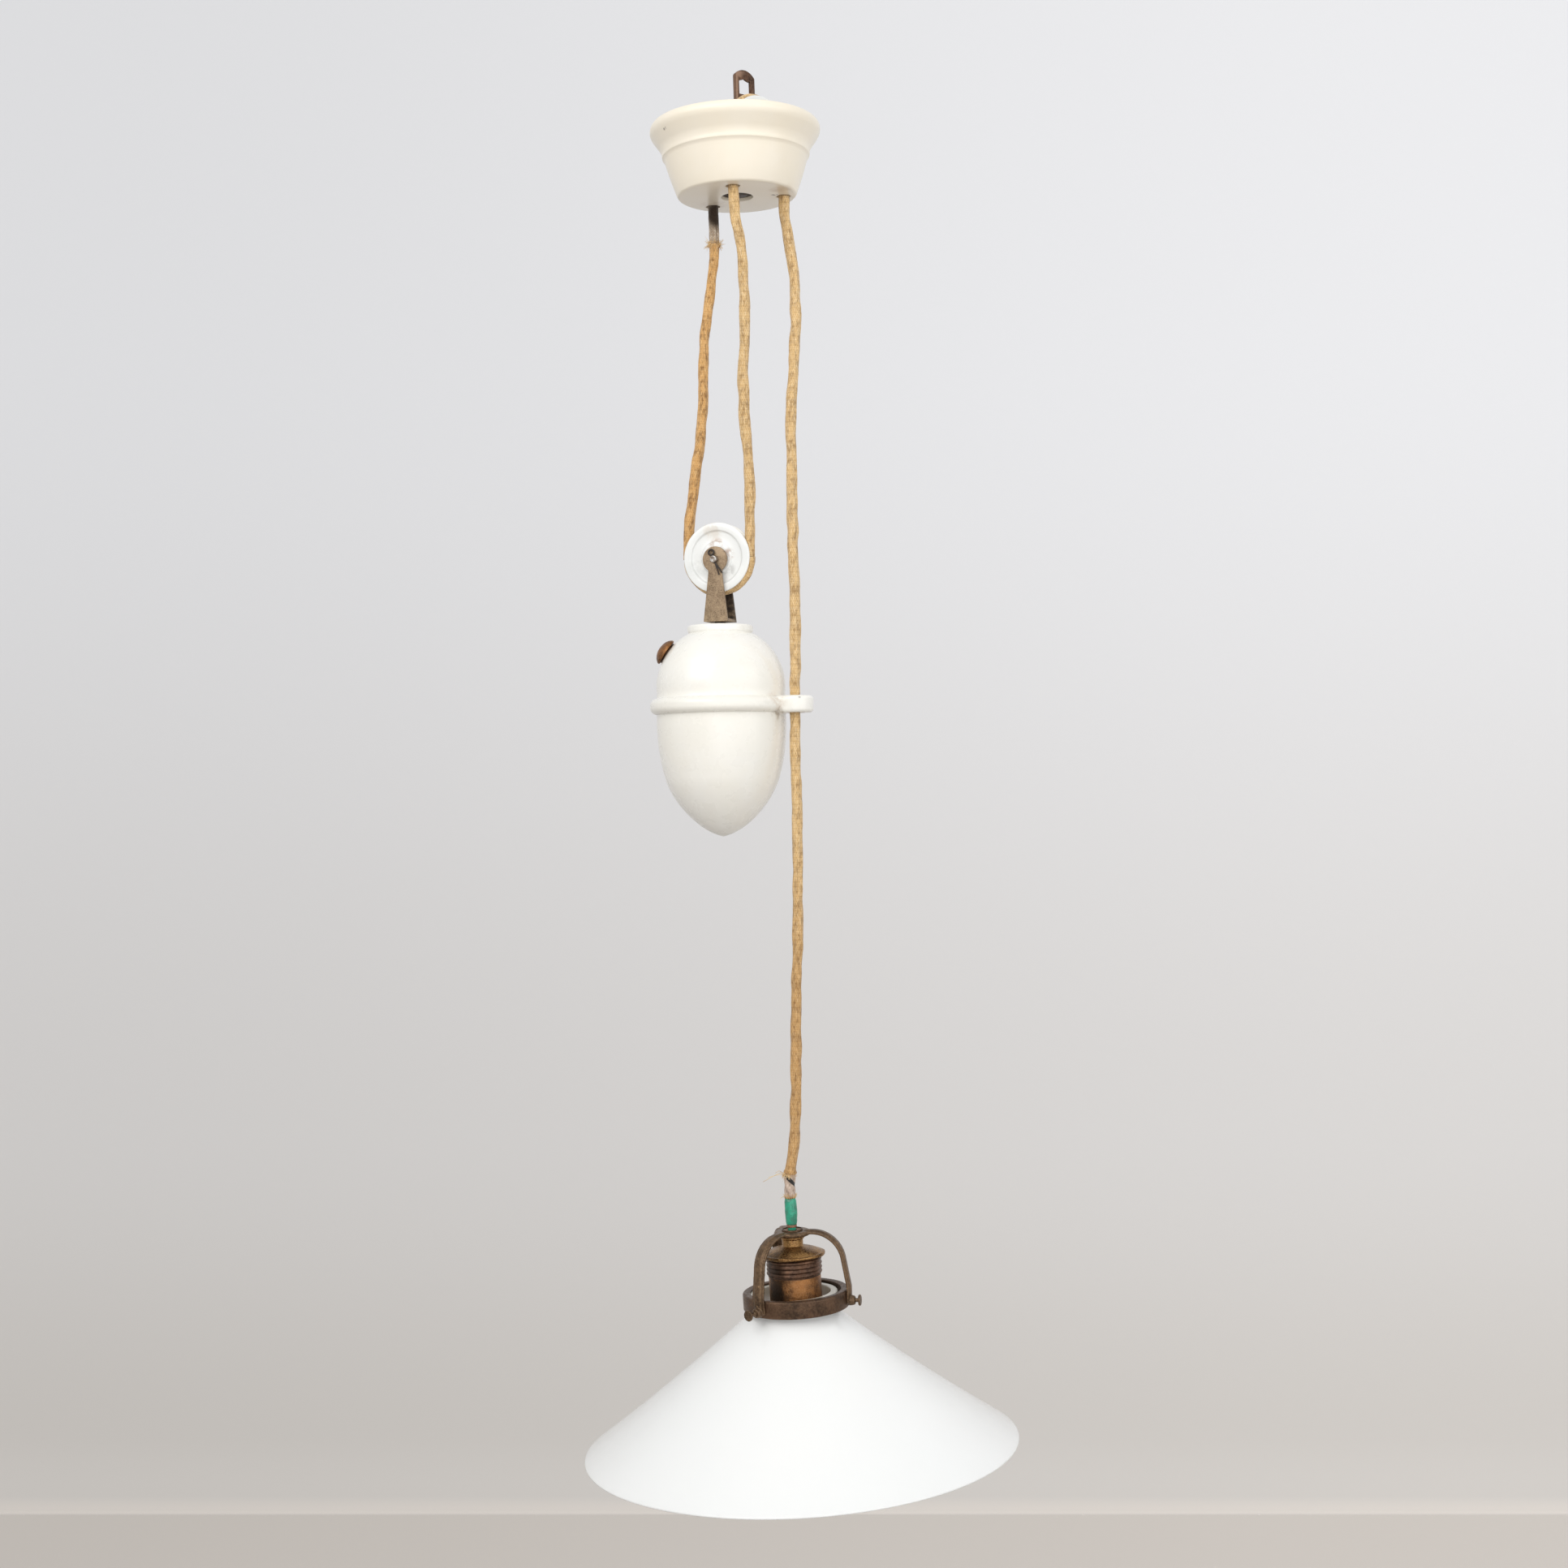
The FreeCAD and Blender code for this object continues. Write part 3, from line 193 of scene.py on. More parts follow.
def glaze(name, look):
    material, tree, shader = newMaterial(name, Coat_Weight=look["coat"], Coat_Roughness=0.22, IOR=1.5)
    place = coords(tree)
    tone = blended(tree, rise(tree, cloud(tree, place, 22, 4), 0.35, 0.68), look["body"], look["tint"])
    fine = rise(tree, cloud(tree, place, 900, 2), 0.70, 0.78)
    sparse = rise(tree, cloud(tree, place, 60, 2), 0.52, 0.62)
    specks = calc(tree, "MULTIPLY", calc(tree, "MULTIPLY", fine, sparse), look["specks"])
    tone = withStainsAndShade(tree, place, look, blended(tree, specks, tone, look["dirt"]), 0.38)
    feed(tree, shader.inputs["Base Color"], tone)
    feed(tree, shader.inputs["Roughness"], rise(tree, cloud(tree, place, 90, 3), 0.3, 0.7, *look["rough"]))
    bump(tree, shader, cloud(tree, place, 130, 3), 0.10, 0.0006)
    return material


def brass(name, look):
    material, tree, shader = newMaterial(name, Metallic=look["metal"], Specular_IOR_Level=0.5)
    place = coords(tree)
    broad = rise(tree, cloud(tree, place, look["scale"], 5, 0.62, 0.4), 0.34, 0.66)
    fine = rise(tree, cloud(tree, place, look["scale"] * 9, 4, 0.6), 0.35, 0.7)
    edge = addNode(tree, "NewGeometry").outputs["Pointiness"]
    tone = blended(tree, broad, look["deep"], look["body"])
    tone = blended(tree, calc(tree, "MULTIPLY", fine, look["mottle"]), tone, look["worn"])
    tone = blended(tree, rise(tree, edge, *look["edge"], 0.0, 0.8), tone, look["worn"])
    tone = blended(tree, rise(tree, edge, 0.42, 0.48, 0.75, 0.0), tone, look["deep"])
    pits = rise(tree, cloud(tree, place, 1400, 2), 0.62, 0.72)
    tone = blended(tree, calc(tree, "MULTIPLY", pits, look["pits"]), tone, (0.02, 0.015, 0.01))
    feed(tree, shader.inputs["Base Color"], withStainsAndShade(tree, place, look, tone, 0.36))
    feed(tree, shader.inputs["Roughness"], rise(tree, fine, 0.0, 1.0, *look["rough"]))
    height = calc(tree, "SUBTRACT", calc(tree, "MULTIPLY", fine, 0.5), calc(tree, "MULTIPLY", pits, 0.6))
    bump(tree, shader, height, 0.35, 0.0004)
    return material


def steel(name, body, rust, share, metal=0.9):
    material, tree, shader = newMaterial(name, Metallic=metal, Specular_IOR_Level=0.3)
    place = coords(tree)
    patches = calc(tree, "MULTIPLY", rise(tree, cloud(tree, place, 260, 5, 0.65), 0.42, 0.62), share)
    feed(tree, shader.inputs["Base Color"], blended(tree, patches, body, rust))
    feed(tree, shader.inputs["Roughness"], rise(tree, patches, 0.0, 1.0, 0.42, 0.75))
    bump(tree, shader, cloud(tree, place, 900, 3), 0.25, 0.0002)
    return material


def textile(name, look):
    # u runs once round the cord and v is the length along it in metres
    material, tree, shader = newMaterial(name, Roughness=0.82, Sheen_Weight=0.25, Sheen_Roughness=0.45,
                                         Specular_IOR_Level=0.25)
    place = coords(tree)
    uv = coords(tree, "UV")
    around, along = partsOf(tree, uv)[:2]
    carriers = calc(tree, "MULTIPLY", around, look["carriers"])
    strands = []
    for sign in (1, -1):
        slant = calc(tree, "MULTIPLY_ADD", along, sign * look["pitch"], carriers)
        strands.append(calc(tree, "SINE", calc(tree, "MULTIPLY", slant, 2 * math.pi)))
    over = rise(tree, calc(tree, "MULTIPLY", *strands), -0.5, 0.5)
    weave = calc(tree, "MAXIMUM", calc(tree, "ABSOLUTE", strands[0]), calc(tree, "ABSOLUTE", strands[1]))
    streaks = cloud(tree, stretched(tree, uv, (7, 110, 1)), 1.0, 4, 0.65)
    fibres = cloud(tree, stretched(tree, place, (1, 1, 0.25)), 1100, 3, 0.6)
    tone = blended(tree, rise(tree, streaks, 0.36, 0.56), look["shade"], look["body"])
    tone = blended(tree, calc(tree, "MULTIPLY", rise(tree, fibres, 0.45, 0.75), 0.7), tone, look["light"])
    tone = blended(tree, calc(tree, "MULTIPLY", over, 0.18), tone, look["light"])
    gaps = rise(tree, weave, 0.25, 0.62, 0.45, 0.0)
    tone = blended(tree, gaps, tone, look["deep"])
    if "strip" in look:     # a dark band wound round the core
        turns, width, colour = look["strip"]
        phase = calc(tree, "FRACT", calc(tree, "MULTIPLY_ADD", along, turns, around))
        aside = calc(tree, "ABSOLUTE", calc(tree, "SUBTRACT", phase, 0.5))
        tone = blended(tree, rise(tree, aside, width, width + 0.05, 1.0, 0.0), tone, colour)
    grime = rise(tree, cloud(tree, place, 55, 4, 0.6), 0.58, 0.74, 0.0, 0.35)
    tone = withStainsAndShade(tree, place, look, blended(tree, grime, tone, look["grime"]))
    if "fade" in look:      # darker towards the lower end
        low, high, colour = look["fade"]
        lowness = rise(tree, partsOf(tree, place)[2], low, high, 1.0, 0.0)
        tone = blended(tree, lowness, tone, colour, "MULTIPLY")
    feed(tree, shader.inputs["Base Color"], tone)
    height = calc(tree, "ADD", calc(tree, "MULTIPLY", weave, 0.6), calc(tree, "MULTIPLY", fibres, 0.8))
    height = calc(tree, "ADD", height, calc(tree, "MULTIPLY", streaks, 0.9))
    bump(tree, shader, height, 0.75, 0.0006)
    return material


def opalGlass(name, look):
    material, tree, shader = newMaterial(name, Coat_Weight=0.35, Coat_Roughness=0.04, IOR=1.52,
                                         Subsurface_Weight=0.25, Subsurface_Scale=0.01)
    shader.inputs["Subsurface Radius"].default_value = (1.0, 1.0, 1.0)
    place = coords(tree)
    neck = rise(tree, partsOf(tree, place)[2], *look["neck"])
    tone = blended(tree, neck, look["body"], look["tint"])
    haze = rise(tree, cloud(tree, place, 9, 3), 0.35, 0.65, 0.0, 0.35)
    feed(tree, shader.inputs["Base Color"], blended(tree, haze, tone, look["cool"]))
    feed(tree, shader.inputs["Roughness"], rise(tree, cloud(tree, place, 30, 3), 0.3, 0.7, 0.16, 0.24))
    bump(tree, shader, cloud(tree, place, 14, 2), 0.12, 0.002)
    return material


def plastic(name, body, dark, rough):
    material, tree, shader = newMaterial(name, Coat_Weight=0.3, Coat_Roughness=0.1)
    place = coords(tree)
    tone = blended(tree, rise(tree, cloud(tree, place, 240, 4, 0.6), 0.42, 0.66), body, dark)
    feed(tree, shader.inputs["Base Color"], tone)
    gloss = rise(tree, cloud(tree, place, 500, 3), 0.3, 0.7, rough, rough + 0.15)
    feed(tree, shader.inputs["Roughness"], gloss)
    bump(tree, shader, cloud(tree, place, 420, 3), 0.2, 0.0004)
    return material


def at(place, x, y, z):     # a point of an assembly, in the frame
    return tuple(place @ (Vector((x, y, z)) * mm))


rust = (0.33, 0.15, 0.06)
grey = (0.30, 0.29, 0.28)
# painted shade: the gallery leg's shadow and dark reflection on the lamp holder's left side
legShadow = (0.028, 0.017, 0.010)
materials = {
    "creamGlaze": glaze("creamGlaze", {
        "body": (0.94, 0.86, 0.71), "tint": (0.95, 0.88, 0.75), "dirt": (0.55, 0.45, 0.3), "coat": 0.35,
        "rough": (0.30, 0.42), "specks": 0.04,
        "stainsAndShade": [(at(canopyPlace, -47.5, -30.5, 39.4), 0.0016, (0.2, 0.15, 0.11), 0.95),
                   (at(canopyPlace, -46.3, -32.3, 40.0), 0.0014, (0.2, 0.15, 0.11), 0.9),
                   (at(canopyPlace, 26, -3, 0), 0.0032, (0.2, 0.13, 0.08), 0.9),
                   (at(canopyPlace, 30, -16, 0), 0.010, (0.6, 0.45, 0.3), 0.5),
                   (at(canopyPlace, -17, 17, 0), 0.012, (0.62, 0.5, 0.36), 0.5)]}),
    "ivoryGlaze": glaze("ivoryGlaze", {
        "body": (0.90, 0.88, 0.81), "tint": (0.92, 0.91, 0.86), "dirt": (0.30, 0.26, 0.2), "coat": 0.45,
        "rough": (0.24, 0.34), "specks": 0.02,
        # the first two marks are painted shadow beside and under the lug, where it meets the body
        "stainsAndShade": [(at(weightPlace, 46, -14, -101), 0.009, (0.62, 0.52, 0.42), 0.6),
                   (at(weightPlace, 45, -10, -109), 0.007, (0.45, 0.38, 0.30), 0.8),
                   (at(weightPlace, 62, -11, -99), 0.0018, grey, 0.9),
                   (at(weightPlace, -36, -28, -137), 0.0016, grey, 0.9),
                   (at(weightPlace, -34, -16, -64), 0.013, (0.55, 0.42, 0.25), 0.4)]}),
    "whiteGlaze": glaze("whiteGlaze", {
        "body": (0.88, 0.89, 0.87), "tint": (0.82, 0.84, 0.83), "dirt": rust, "coat": 0.7,
        "rough": (0.12, 0.22), "specks": 0.15,
        "stainsAndShade": [(at(weightPlace, 0, -6, 9), 0.0065, rust, 0.75),
                   (at(weightPlace, 9, -6, 2), 0.0055, rust, 0.6),
                   (at(weightPlace, 8, -5, -9), 0.007, (0.40, 0.40, 0.38), 0.5),
                   (at(weightPlace, -3, -5, 19), 0.009, (0.66, 0.58, 0.48), 0.5),
                   (at(weightPlace, -14, -5, -6), 0.010, (0.62, 0.64, 0.62), 0.5)]}),
    "plainPorcelain": glaze("plainPorcelain", {
        "body": (0.80, 0.71, 0.57), "tint": (0.74, 0.64, 0.50), "dirt": grey, "coat": 0.1,
        "rough": (0.4, 0.6), "specks": 0.6}),
    "yokeBrass": brass("yokeBrass", {
        "deep": (0.19, 0.125, 0.075), "body": (0.36, 0.255, 0.16), "worn": (0.55, 0.42, 0.27), "metal": 0.45,
        "scale": 120, "mottle": 0.5, "edge": (0.54, 0.62), "pits": 0.9, "rough": (0.42, 0.6),
        # painted shade: four near-black balls darken the yoke's rear cheek behind the pulley
        "stainsAndShade": [(at(weightPlace, x, 12, z), 0.017, (0.03, 0.019, 0.013), 1.0)
                   for x, z in ((-6, -24), (6, -24), (-7, -36), (7, -36))]}),
    "darkBrass": brass("darkBrass", {
        "deep": (0.044, 0.025, 0.015), "body": (0.115, 0.064, 0.038), "worn": (0.36, 0.22, 0.12), "metal": 0.7,
        "scale": 70, "mottle": 0.16, "edge": (0.55, 0.66), "pits": 0.5, "rough": (0.3, 0.5)}),
    "armBrass": brass("armBrass", {
        "deep": (0.060, 0.035, 0.020), "body": (0.150, 0.090, 0.050), "worn": (0.50, 0.33, 0.18), "metal": 0.7,
        "scale": 80, "mottle": 0.22, "edge": (0.53, 0.61), "pits": 0.5, "rough": (0.28, 0.46)}),
    "rustyBrass": brass("rustyBrass", {
        "deep": (0.050, 0.024, 0.014), "body": (0.145, 0.070, 0.038), "worn": (0.40, 0.25, 0.17), "metal": 0.7,
        "scale": 80, "mottle": 0.22, "edge": (0.53, 0.62), "pits": 0.4, "rough": (0.28, 0.46),
        # painted shade of the gallery leg on the holder's threads
        "stainsAndShade": [(at(lampPlace, -16, -14, -25), 0.014, legShadow, 0.85)]}),
    "goldenBrass": brass("goldenBrass", {
        "deep": (0.12, 0.053, 0.018), "body": (0.33, 0.175, 0.058), "worn": (0.62, 0.39, 0.17), "metal": 0.85,
        "scale": 90, "mottle": 0.4, "edge": (0.54, 0.62), "pits": 0.35, "rough": (0.26, 0.45),
        # painted shade of the gallery leg on the holder's cap
        "stainsAndShade": [(at(lampPlace, -17, -12, -16), 0.013, legShadow, 0.75)]}),
    "copperyBrass": brass("copperyBrass", {
        "deep": (0.10, 0.040, 0.015), "body": (0.30, 0.125, 0.038), "worn": (0.55, 0.30, 0.13), "metal": 0.75,
        "scale": 130, "mottle": 0.4, "edge": (0.53, 0.6), "pits": 0.5, "rough": (0.3, 0.5),
        # painted shade of the gallery leg on the holder's barrel
        "stainsAndShade": [(at(lampPlace, -15, -14, z), 0.015, legShadow, 0.9) for z in (-36, -46)]}),
    "wornSteel": steel("wornSteel", (0.55, 0.54, 0.52), (0.22, 0.14, 0.09), 0.7),
    "darkSteel": steel("darkSteel", (0.05, 0.043, 0.038), (0.085, 0.05, 0.03), 0.6, 0.3),
    "greenPlastic": plastic("greenPlastic", (0.02, 0.33, 0.20), (0.03, 0.20, 0.13), 0.22),
    "brownPlastic": plastic("brownPlastic", (0.28, 0.12, 0.06), (0.16, 0.07, 0.04), 0.3),
    "wireSleeve": plastic("wireSleeve", (0.45, 0.28, 0.20), (0.25, 0.15, 0.10), 0.6),
    "braid": textile("braid", {
        "shade": (0.40, 0.24, 0.10), "body": (0.72, 0.48, 0.22), "light": (0.98, 0.76, 0.46),
        "deep": (0.22, 0.115, 0.045), "grime": (0.42, 0.26, 0.12), "pitch": 150, "carriers": 8,
        "fade": (-0.66, -0.50, (0.78, 0.68, 0.58))}),
    "braidOrange": textile("braidOrange", {
        "shade": (0.30, 0.15, 0.05), "body": (0.70, 0.40, 0.15), "light": (0.92, 0.62, 0.30),
        "deep": (0.18, 0.08, 0.03), "grime": (0.32, 0.16, 0.07), "pitch": 150, "carriers": 8,
        "fade": (-0.30, -0.22, (0.92, 0.90, 0.88))}),
    "innerBraid": textile("innerBraid", {
        "shade": (0.25, 0.17, 0.11), "body": (0.56, 0.44, 0.33), "light": (0.92, 0.82, 0.68),
        "deep": (0.06, 0.042, 0.03), "grime": (0.18, 0.12, 0.08), "pitch": 260, "carriers": 5,
        "stainsAndShade": [((-0.0185, 0.0205, -0.088), 0.014, (0.045, 0.03, 0.02), 1.0)]}),
    "cordCore": textile("cordCore", {
        "shade": (0.30, 0.20, 0.15), "body": (0.52, 0.40, 0.32), "light": (0.74, 0.62, 0.52),
        "deep": (0.15, 0.09, 0.06), "grime": (0.28, 0.17, 0.12), "pitch": 60, "carriers": 2,
        "strip": (55, 0.07, (0.03, 0.028, 0.026))}),
    "fibre": plastic("fibre", (0.80, 0.60, 0.33), (0.50, 0.32, 0.15), 0.75),
    "opalGlass": opalGlass("opalGlass", {
        "body": (0.93, 0.94, 0.93), "tint": (0.50, 0.47, 0.38), "cool": (0.90, 0.93, 0.93),
        "neck": (-0.853, -0.845)}),
}
print(len(materials), "materials")
nearby = 1e-6       # metres, under which two points are one


def meshFrom(name, bm):
    mesh = bpy.data.meshes.new(name)
    bm.to_mesh(mesh)
    bm.free()
    return mesh


def shaded(mesh, degrees=40):       # smooth, with creases where faces meet at more than this
    mesh.shade_smooth()
    mesh.set_sharp_from_angle(angle=math.radians(degrees))


def finished(name, bm, place, material, body, node=None, smooth=40):
    bmesh.ops.remove_doubles(bm, verts=bm.verts, dist=nearby)
    bmesh.ops.transform(bm, matrix=place, verts=bm.verts)
    bmesh.ops.recalc_face_normals(bm, faces=bm.faces)
    return dressed(name, meshFrom(name, bm), material, body, node, smooth)


def dressed(name, mesh, material, body, node=None, smooth=40):
    piece = placed(name, mesh)
    mesh.materials.clear()
    mesh.materials.append(materials[material])
    shaded(mesh, smooth)
    if body:
        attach(piece, body)
    if node:
        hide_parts(node)
    return piece


# a corner of a profile is (radius, height) or (radius, height, rounding, segments), in millimetres
def spun(profile, steps=96, place=None):
    bm = bmesh.new()
    corners = [bm.verts.new((corner[0] * mm, 0, corner[1] * mm)) for corner in profile]
    for first, second in zip(corners, corners[1:]):
        bm.edges.new((first, second))
    if profile[0][0] > 0:
        bm.edges.new((corners[-1], corners[0]))
    for vertex, corner in zip(corners, profile):
        if len(corner) > 2:
            segments = corner[3] if len(corner) > 3 else 4
            bmesh.ops.bevel(bm, geom=[vertex], offset=corner[2] * mm, segments=segments, profile=0.5,
                            affect="VERTICES", material=-1)
    bmesh.ops.spin(bm, geom=bm.verts[:] + bm.edges[:], cent=(0, 0, 0), axis=(0, 0, 1), angle=2 * math.pi,
                   steps=steps, use_merge=True)
    bmesh.ops.remove_doubles(bm, verts=bm.verts, dist=nearby)
    bmesh.ops.recalc_face_normals(bm, faces=bm.faces)
    if place is not None:
        bmesh.ops.transform(bm, matrix=place, verts=bm.verts)
    return bm


def softened(node, material, body, width):      # a CAD piece's own shape with its edges eased
    bm = bmesh.new()
    bm.from_mesh(nodes[node].data)
    bmesh.ops.remove_doubles(bm, verts=bm.verts, dist=2 * nearby)
    bmesh.ops.dissolve_limit(bm, angle_limit=math.radians(1.5), verts=bm.verts, edges=bm.edges)
    crisp = [e for e in bm.edges if len(e.link_faces) == 2 and e.calc_face_angle() > math.radians(38)]
    if width:
        bmesh.ops.bevel(bm, geom=crisp, offset=width * mm, segments=3 if width > 0.5 else 2, profile=0.5,
                        affect="EDGES", clamp_overlap=True, material=-1)
    dressed(node + "Dress", meshFrom(node + "Dress", bm), material, body, node)


def joined(first, others):
    for other in others:
        spare = meshFrom("spare", other)
        first.from_mesh(spare)
        bpy.data.meshes.remove(spare)


def baked(piece):       # a mesh of what the piece's curve or modifiers make
    bpy.context.view_layer.update()
    return bpy.data.meshes.new_from_object(piece.evaluated_get(bpy.context.evaluated_depsgraph_get()))


def applied(piece):     # the piece's modifiers become its mesh
    result = baked(piece)
    piece.modifiers.clear()
    old = piece.data
    piece.data = result
    bpy.data.meshes.remove(old)


def carved(piece, cutters, operation="DIFFERENCE"):
    for bm in cutters:
        bmesh.ops.recalc_face_normals(bm, faces=bm.faces)
        tool = placed("tool", meshFrom("tool", bm))
        carving = piece.modifiers.new("carving", "BOOLEAN")
        carving.operation = operation
        carving.solver = "EXACT"
        carving.object = tool
        applied(piece)
        bpy.data.objects.remove(tool)


def peg(radius, low, high, place=Matrix(), steps=48):
    bm = bmesh.new()
    bmesh.ops.create_cone(bm, cap_ends=True, segments=steps, radius1=radius * mm, radius2=radius * mm,
                          depth=(high - low) * mm, matrix=place @ shift(0, 0, (high + low) / 2))
    return bm


def worn(bm, amount, scale, seed=0.0):      # a little unevenness, as thrown, cast or dented things have
    bm.normal_update()
    for vertex in bm.verts:
        drift = noise.noise(vertex.co * scale + Vector((seed, 0, 0)))
        vertex.co += vertex.normal * drift * amount * mm
    return bm


# The falls' points are in metres, each from its upper end down; the ends meet the straight legs.
cordLook = {
    "diameter": 0.007, "sides": 32, "ridgeCount": 6, "zoneEdge": 0.0008, "cutLevel": -0.1077,
    "lumps": 0.85, "swell": 0.45, "fuzz": 0.12, "ridges": 0.26,     # how far each stands out, in millimetres
    "anchor": [(-0.0210, 0.0245, -0.1078), (-0.0227, 0.0241, -0.1309), (-0.0263, 0.0233, -0.1569),
               (-0.0287, 0.0224, -0.1819), (-0.0289, 0.0213, -0.2098), (-0.0296, 0.0202, -0.2360),
               (-0.0328, 0.0186, -0.2608), (-0.0362, 0.0169, -0.2884)],
    "return": [(-0.0016, -0.0236, -0.1200), (0.0007, -0.0194, -0.1483), (0.0013, -0.0163, -0.1757),
               (-0.0004, -0.0132, -0.2036), (0.0002, -0.0098, -0.2315), (0.0027, -0.0063, -0.2588),
               (0.0050, -0.0026, -0.2863)],
    "lamp": [(0.0315, 0.0026, -0.1120), (0.0354, -0.0013, -0.1390), (0.0363, -0.0050, -0.1680),
             (0.0348, -0.0083, -0.1980), (0.0328, -0.0106, -0.2320), (0.0330, -0.0114, -0.2700),
             (0.0340, -0.0117, -0.3140), (0.0355, -0.0112, -0.3620), (0.0356, -0.0109, -0.4080),
             (0.0356, -0.0114, -0.4520), (0.0369, -0.0119, -0.5000), (0.0374, -0.0116, -0.5490),
             (0.0376, -0.0108, -0.5980), (0.0363, -0.0102, -0.6450), (0.0362, -0.0106, -0.6880),
             (0.0361, -0.0104, -0.7200), (0.0347, -0.0100, -0.7440)],
    # a half turn over a pulley's groove, in the pulley's plane, in millimetres
    "halfTurn": [(-23.2, 4.6), (-19.3, 12.9), (-12.9, 19.3), (-4.5, 22.8), (4.5, 22.8), (12.9, 19.3),
                 (19.3, 12.9), (23.2, 4.6)],
}


def routeOf(name, points, fineness=24, shortest=0.0004):     # the smooth line that a cord follows
    curve = bpy.data.curves.new(name + "Route", "CURVE")
    curve.dimensions = "3D"
    spline = curve.splines.new("NURBS")
    spline.points.add(len(points) - 1)
    for knot, point in zip(spline.points, points):
        knot.co = (*point, 1.0)
    spline.order_u = 3
    spline.use_endpoint_u = True
    spline.resolution_u = fineness
    holder = placed(name + "Route", curve)
    mesh = baked(holder)
    route = [vertex.co.copy() for vertex in mesh.vertices]
    bpy.data.meshes.remove(mesh)
    bpy.data.objects.remove(holder)
    kept = [route[0]]
    for point in route[1:]:
        if (point - kept[-1]).length > shortest:
            kept.append(point)
    return kept


def framesAlong(route):     # a matrix at each point, turned as little as possible from one to the next
    frames = []
    side = None
    for index, point in enumerate(route):
        ahead = (route[min(index + 1, len(route) - 1)] - route[max(index - 1, 0)]).normalized()
        side = ahead.orthogonal() if side is None else side - ahead * side.dot(ahead)
        side.normalize()
        other = ahead.cross(side)
        frames.append(Matrix((side, other, ahead)).transposed().to_4x4())
        frames[-1].translation = point
    return frames


def tubeAlong(name, route, radiusAt, sides):    # radiusAt(length along, part of a turn) in metres
    starts = [0.0]
    for first, second in zip(route, route[1:]):
        starts.append(starts[-1] + (second - first).length)
    rings = len(route) - 1
    frames = framesAlong(route)
    bm = bmesh.new()
    uv = bm.loops.layers.uv.new("UVMap")
    bmesh.ops.create_grid(bm, x_segments=rings, y_segments=sides, size=0.5)
    for face in bm.faces:
        for loop in face.loops:
            step = round((loop.vert.co.x + 0.5) * rings)
            loop[uv].uv = (loop.vert.co.y + 0.5, starts[step])
    for vertex in bm.verts:
        step = round((vertex.co.x + 0.5) * rings)
        around = vertex.co.y + 0.5
        angle = around * 2 * math.pi
        reach = radiusAt(starts[step], around % 1.0)
        vertex.co = frames[step] @ Vector((reach * math.cos(angle), reach * math.sin(angle), 0))
    bmesh.ops.remove_doubles(bm, verts=bm.verts, dist=1e-7)
    bmesh.ops.holes_fill(bm, edges=[edge for edge in bm.edges if edge.is_boundary], sides=0)
    bmesh.ops.recalc_face_normals(bm, faces=bm.faces)
    return meshFrom(name, bm)


# A zone is (from, to, radius, strands, depth, twist, material) and a knot (along, part of a turn, size, height):
# from, to, along and size are in metres, radius, depth and height in millimetres.
def braidedRadius(seed, zones=(), knots=()):
    edge = cordLook["zoneEdge"]
    girth = 0.022       # once round the cord, in metres

    def radius(along, around):
        angle = around * 2 * math.pi
        drift = noise.noise(Vector((math.cos(angle) * 0.8, math.sin(angle) * 0.8, along * 90 + seed)))
        rough = noise.noise(Vector((math.cos(angle) * 2.4, math.sin(angle) * 2.4, along * 420 + seed)))
        lump = noise.noise(Vector((seed * 3, 1.7, along * 48)))
        twist = along * 36 + noise.noise(Vector((2.2, seed, along * 25))) * 2.4
        ridge = 1 - 2 * abs(math.sin(cordLook["ridgeCount"] / 2 * angle + twist)) ** 0.8
        depth = 0.6 + 0.8 * noise.noise(Vector((5.1, math.cos(angle), along * 30 + seed)))
        reach = (cordLook["diameter"] / 2 / mm + drift * cordLook["lumps"] + lump * cordLook["swell"]
                 + rough * cordLook["fuzz"] - ridge * depth * cordLook["ridges"])
        for start, end, size, count, deep, turns, _ in zones:
            share = min(1.0, max(0.0, (along - start) / edge)) * min(1.0, max(0.0, (end - along) / edge))
            strand = abs(math.cos(count / 2 * angle + along * turns))
            reach += share * (size + deep * strand + drift * 0.1 - reach)
        for start, side, size, height in knots:
            aside = min(abs(around - side), 1 - abs(around - side)) * girth
            gap = math.hypot((along - start) / size, aside / size)
            reach += height * math.exp(-gap * gap)
        return reach * mm
    return radius


def cordPiece(name, route, seed, surface, zones=(), knots=()):
    mesh = tubeAlong(name, route, braidedRadius(seed, zones, knots), cordLook["sides"])
    piece = placed(name, mesh)
    mesh.materials.append(materials[surface])
    uv = mesh.uv_layers[0].data
    for number, (start, end, *_, other) in enumerate(zones, 1):
        mesh.materials.append(materials[other])
        for face in mesh.polygons:
            along = sum(uv[loop].uv.y for loop in face.loop_indices) / face.loop_total
            if start < along < end:
                face.material_index = number
    mesh.shade_smooth()
    return piece


def lengthOf(route):
    return sum((second - first).length for first, second in zip(route, route[1:]))


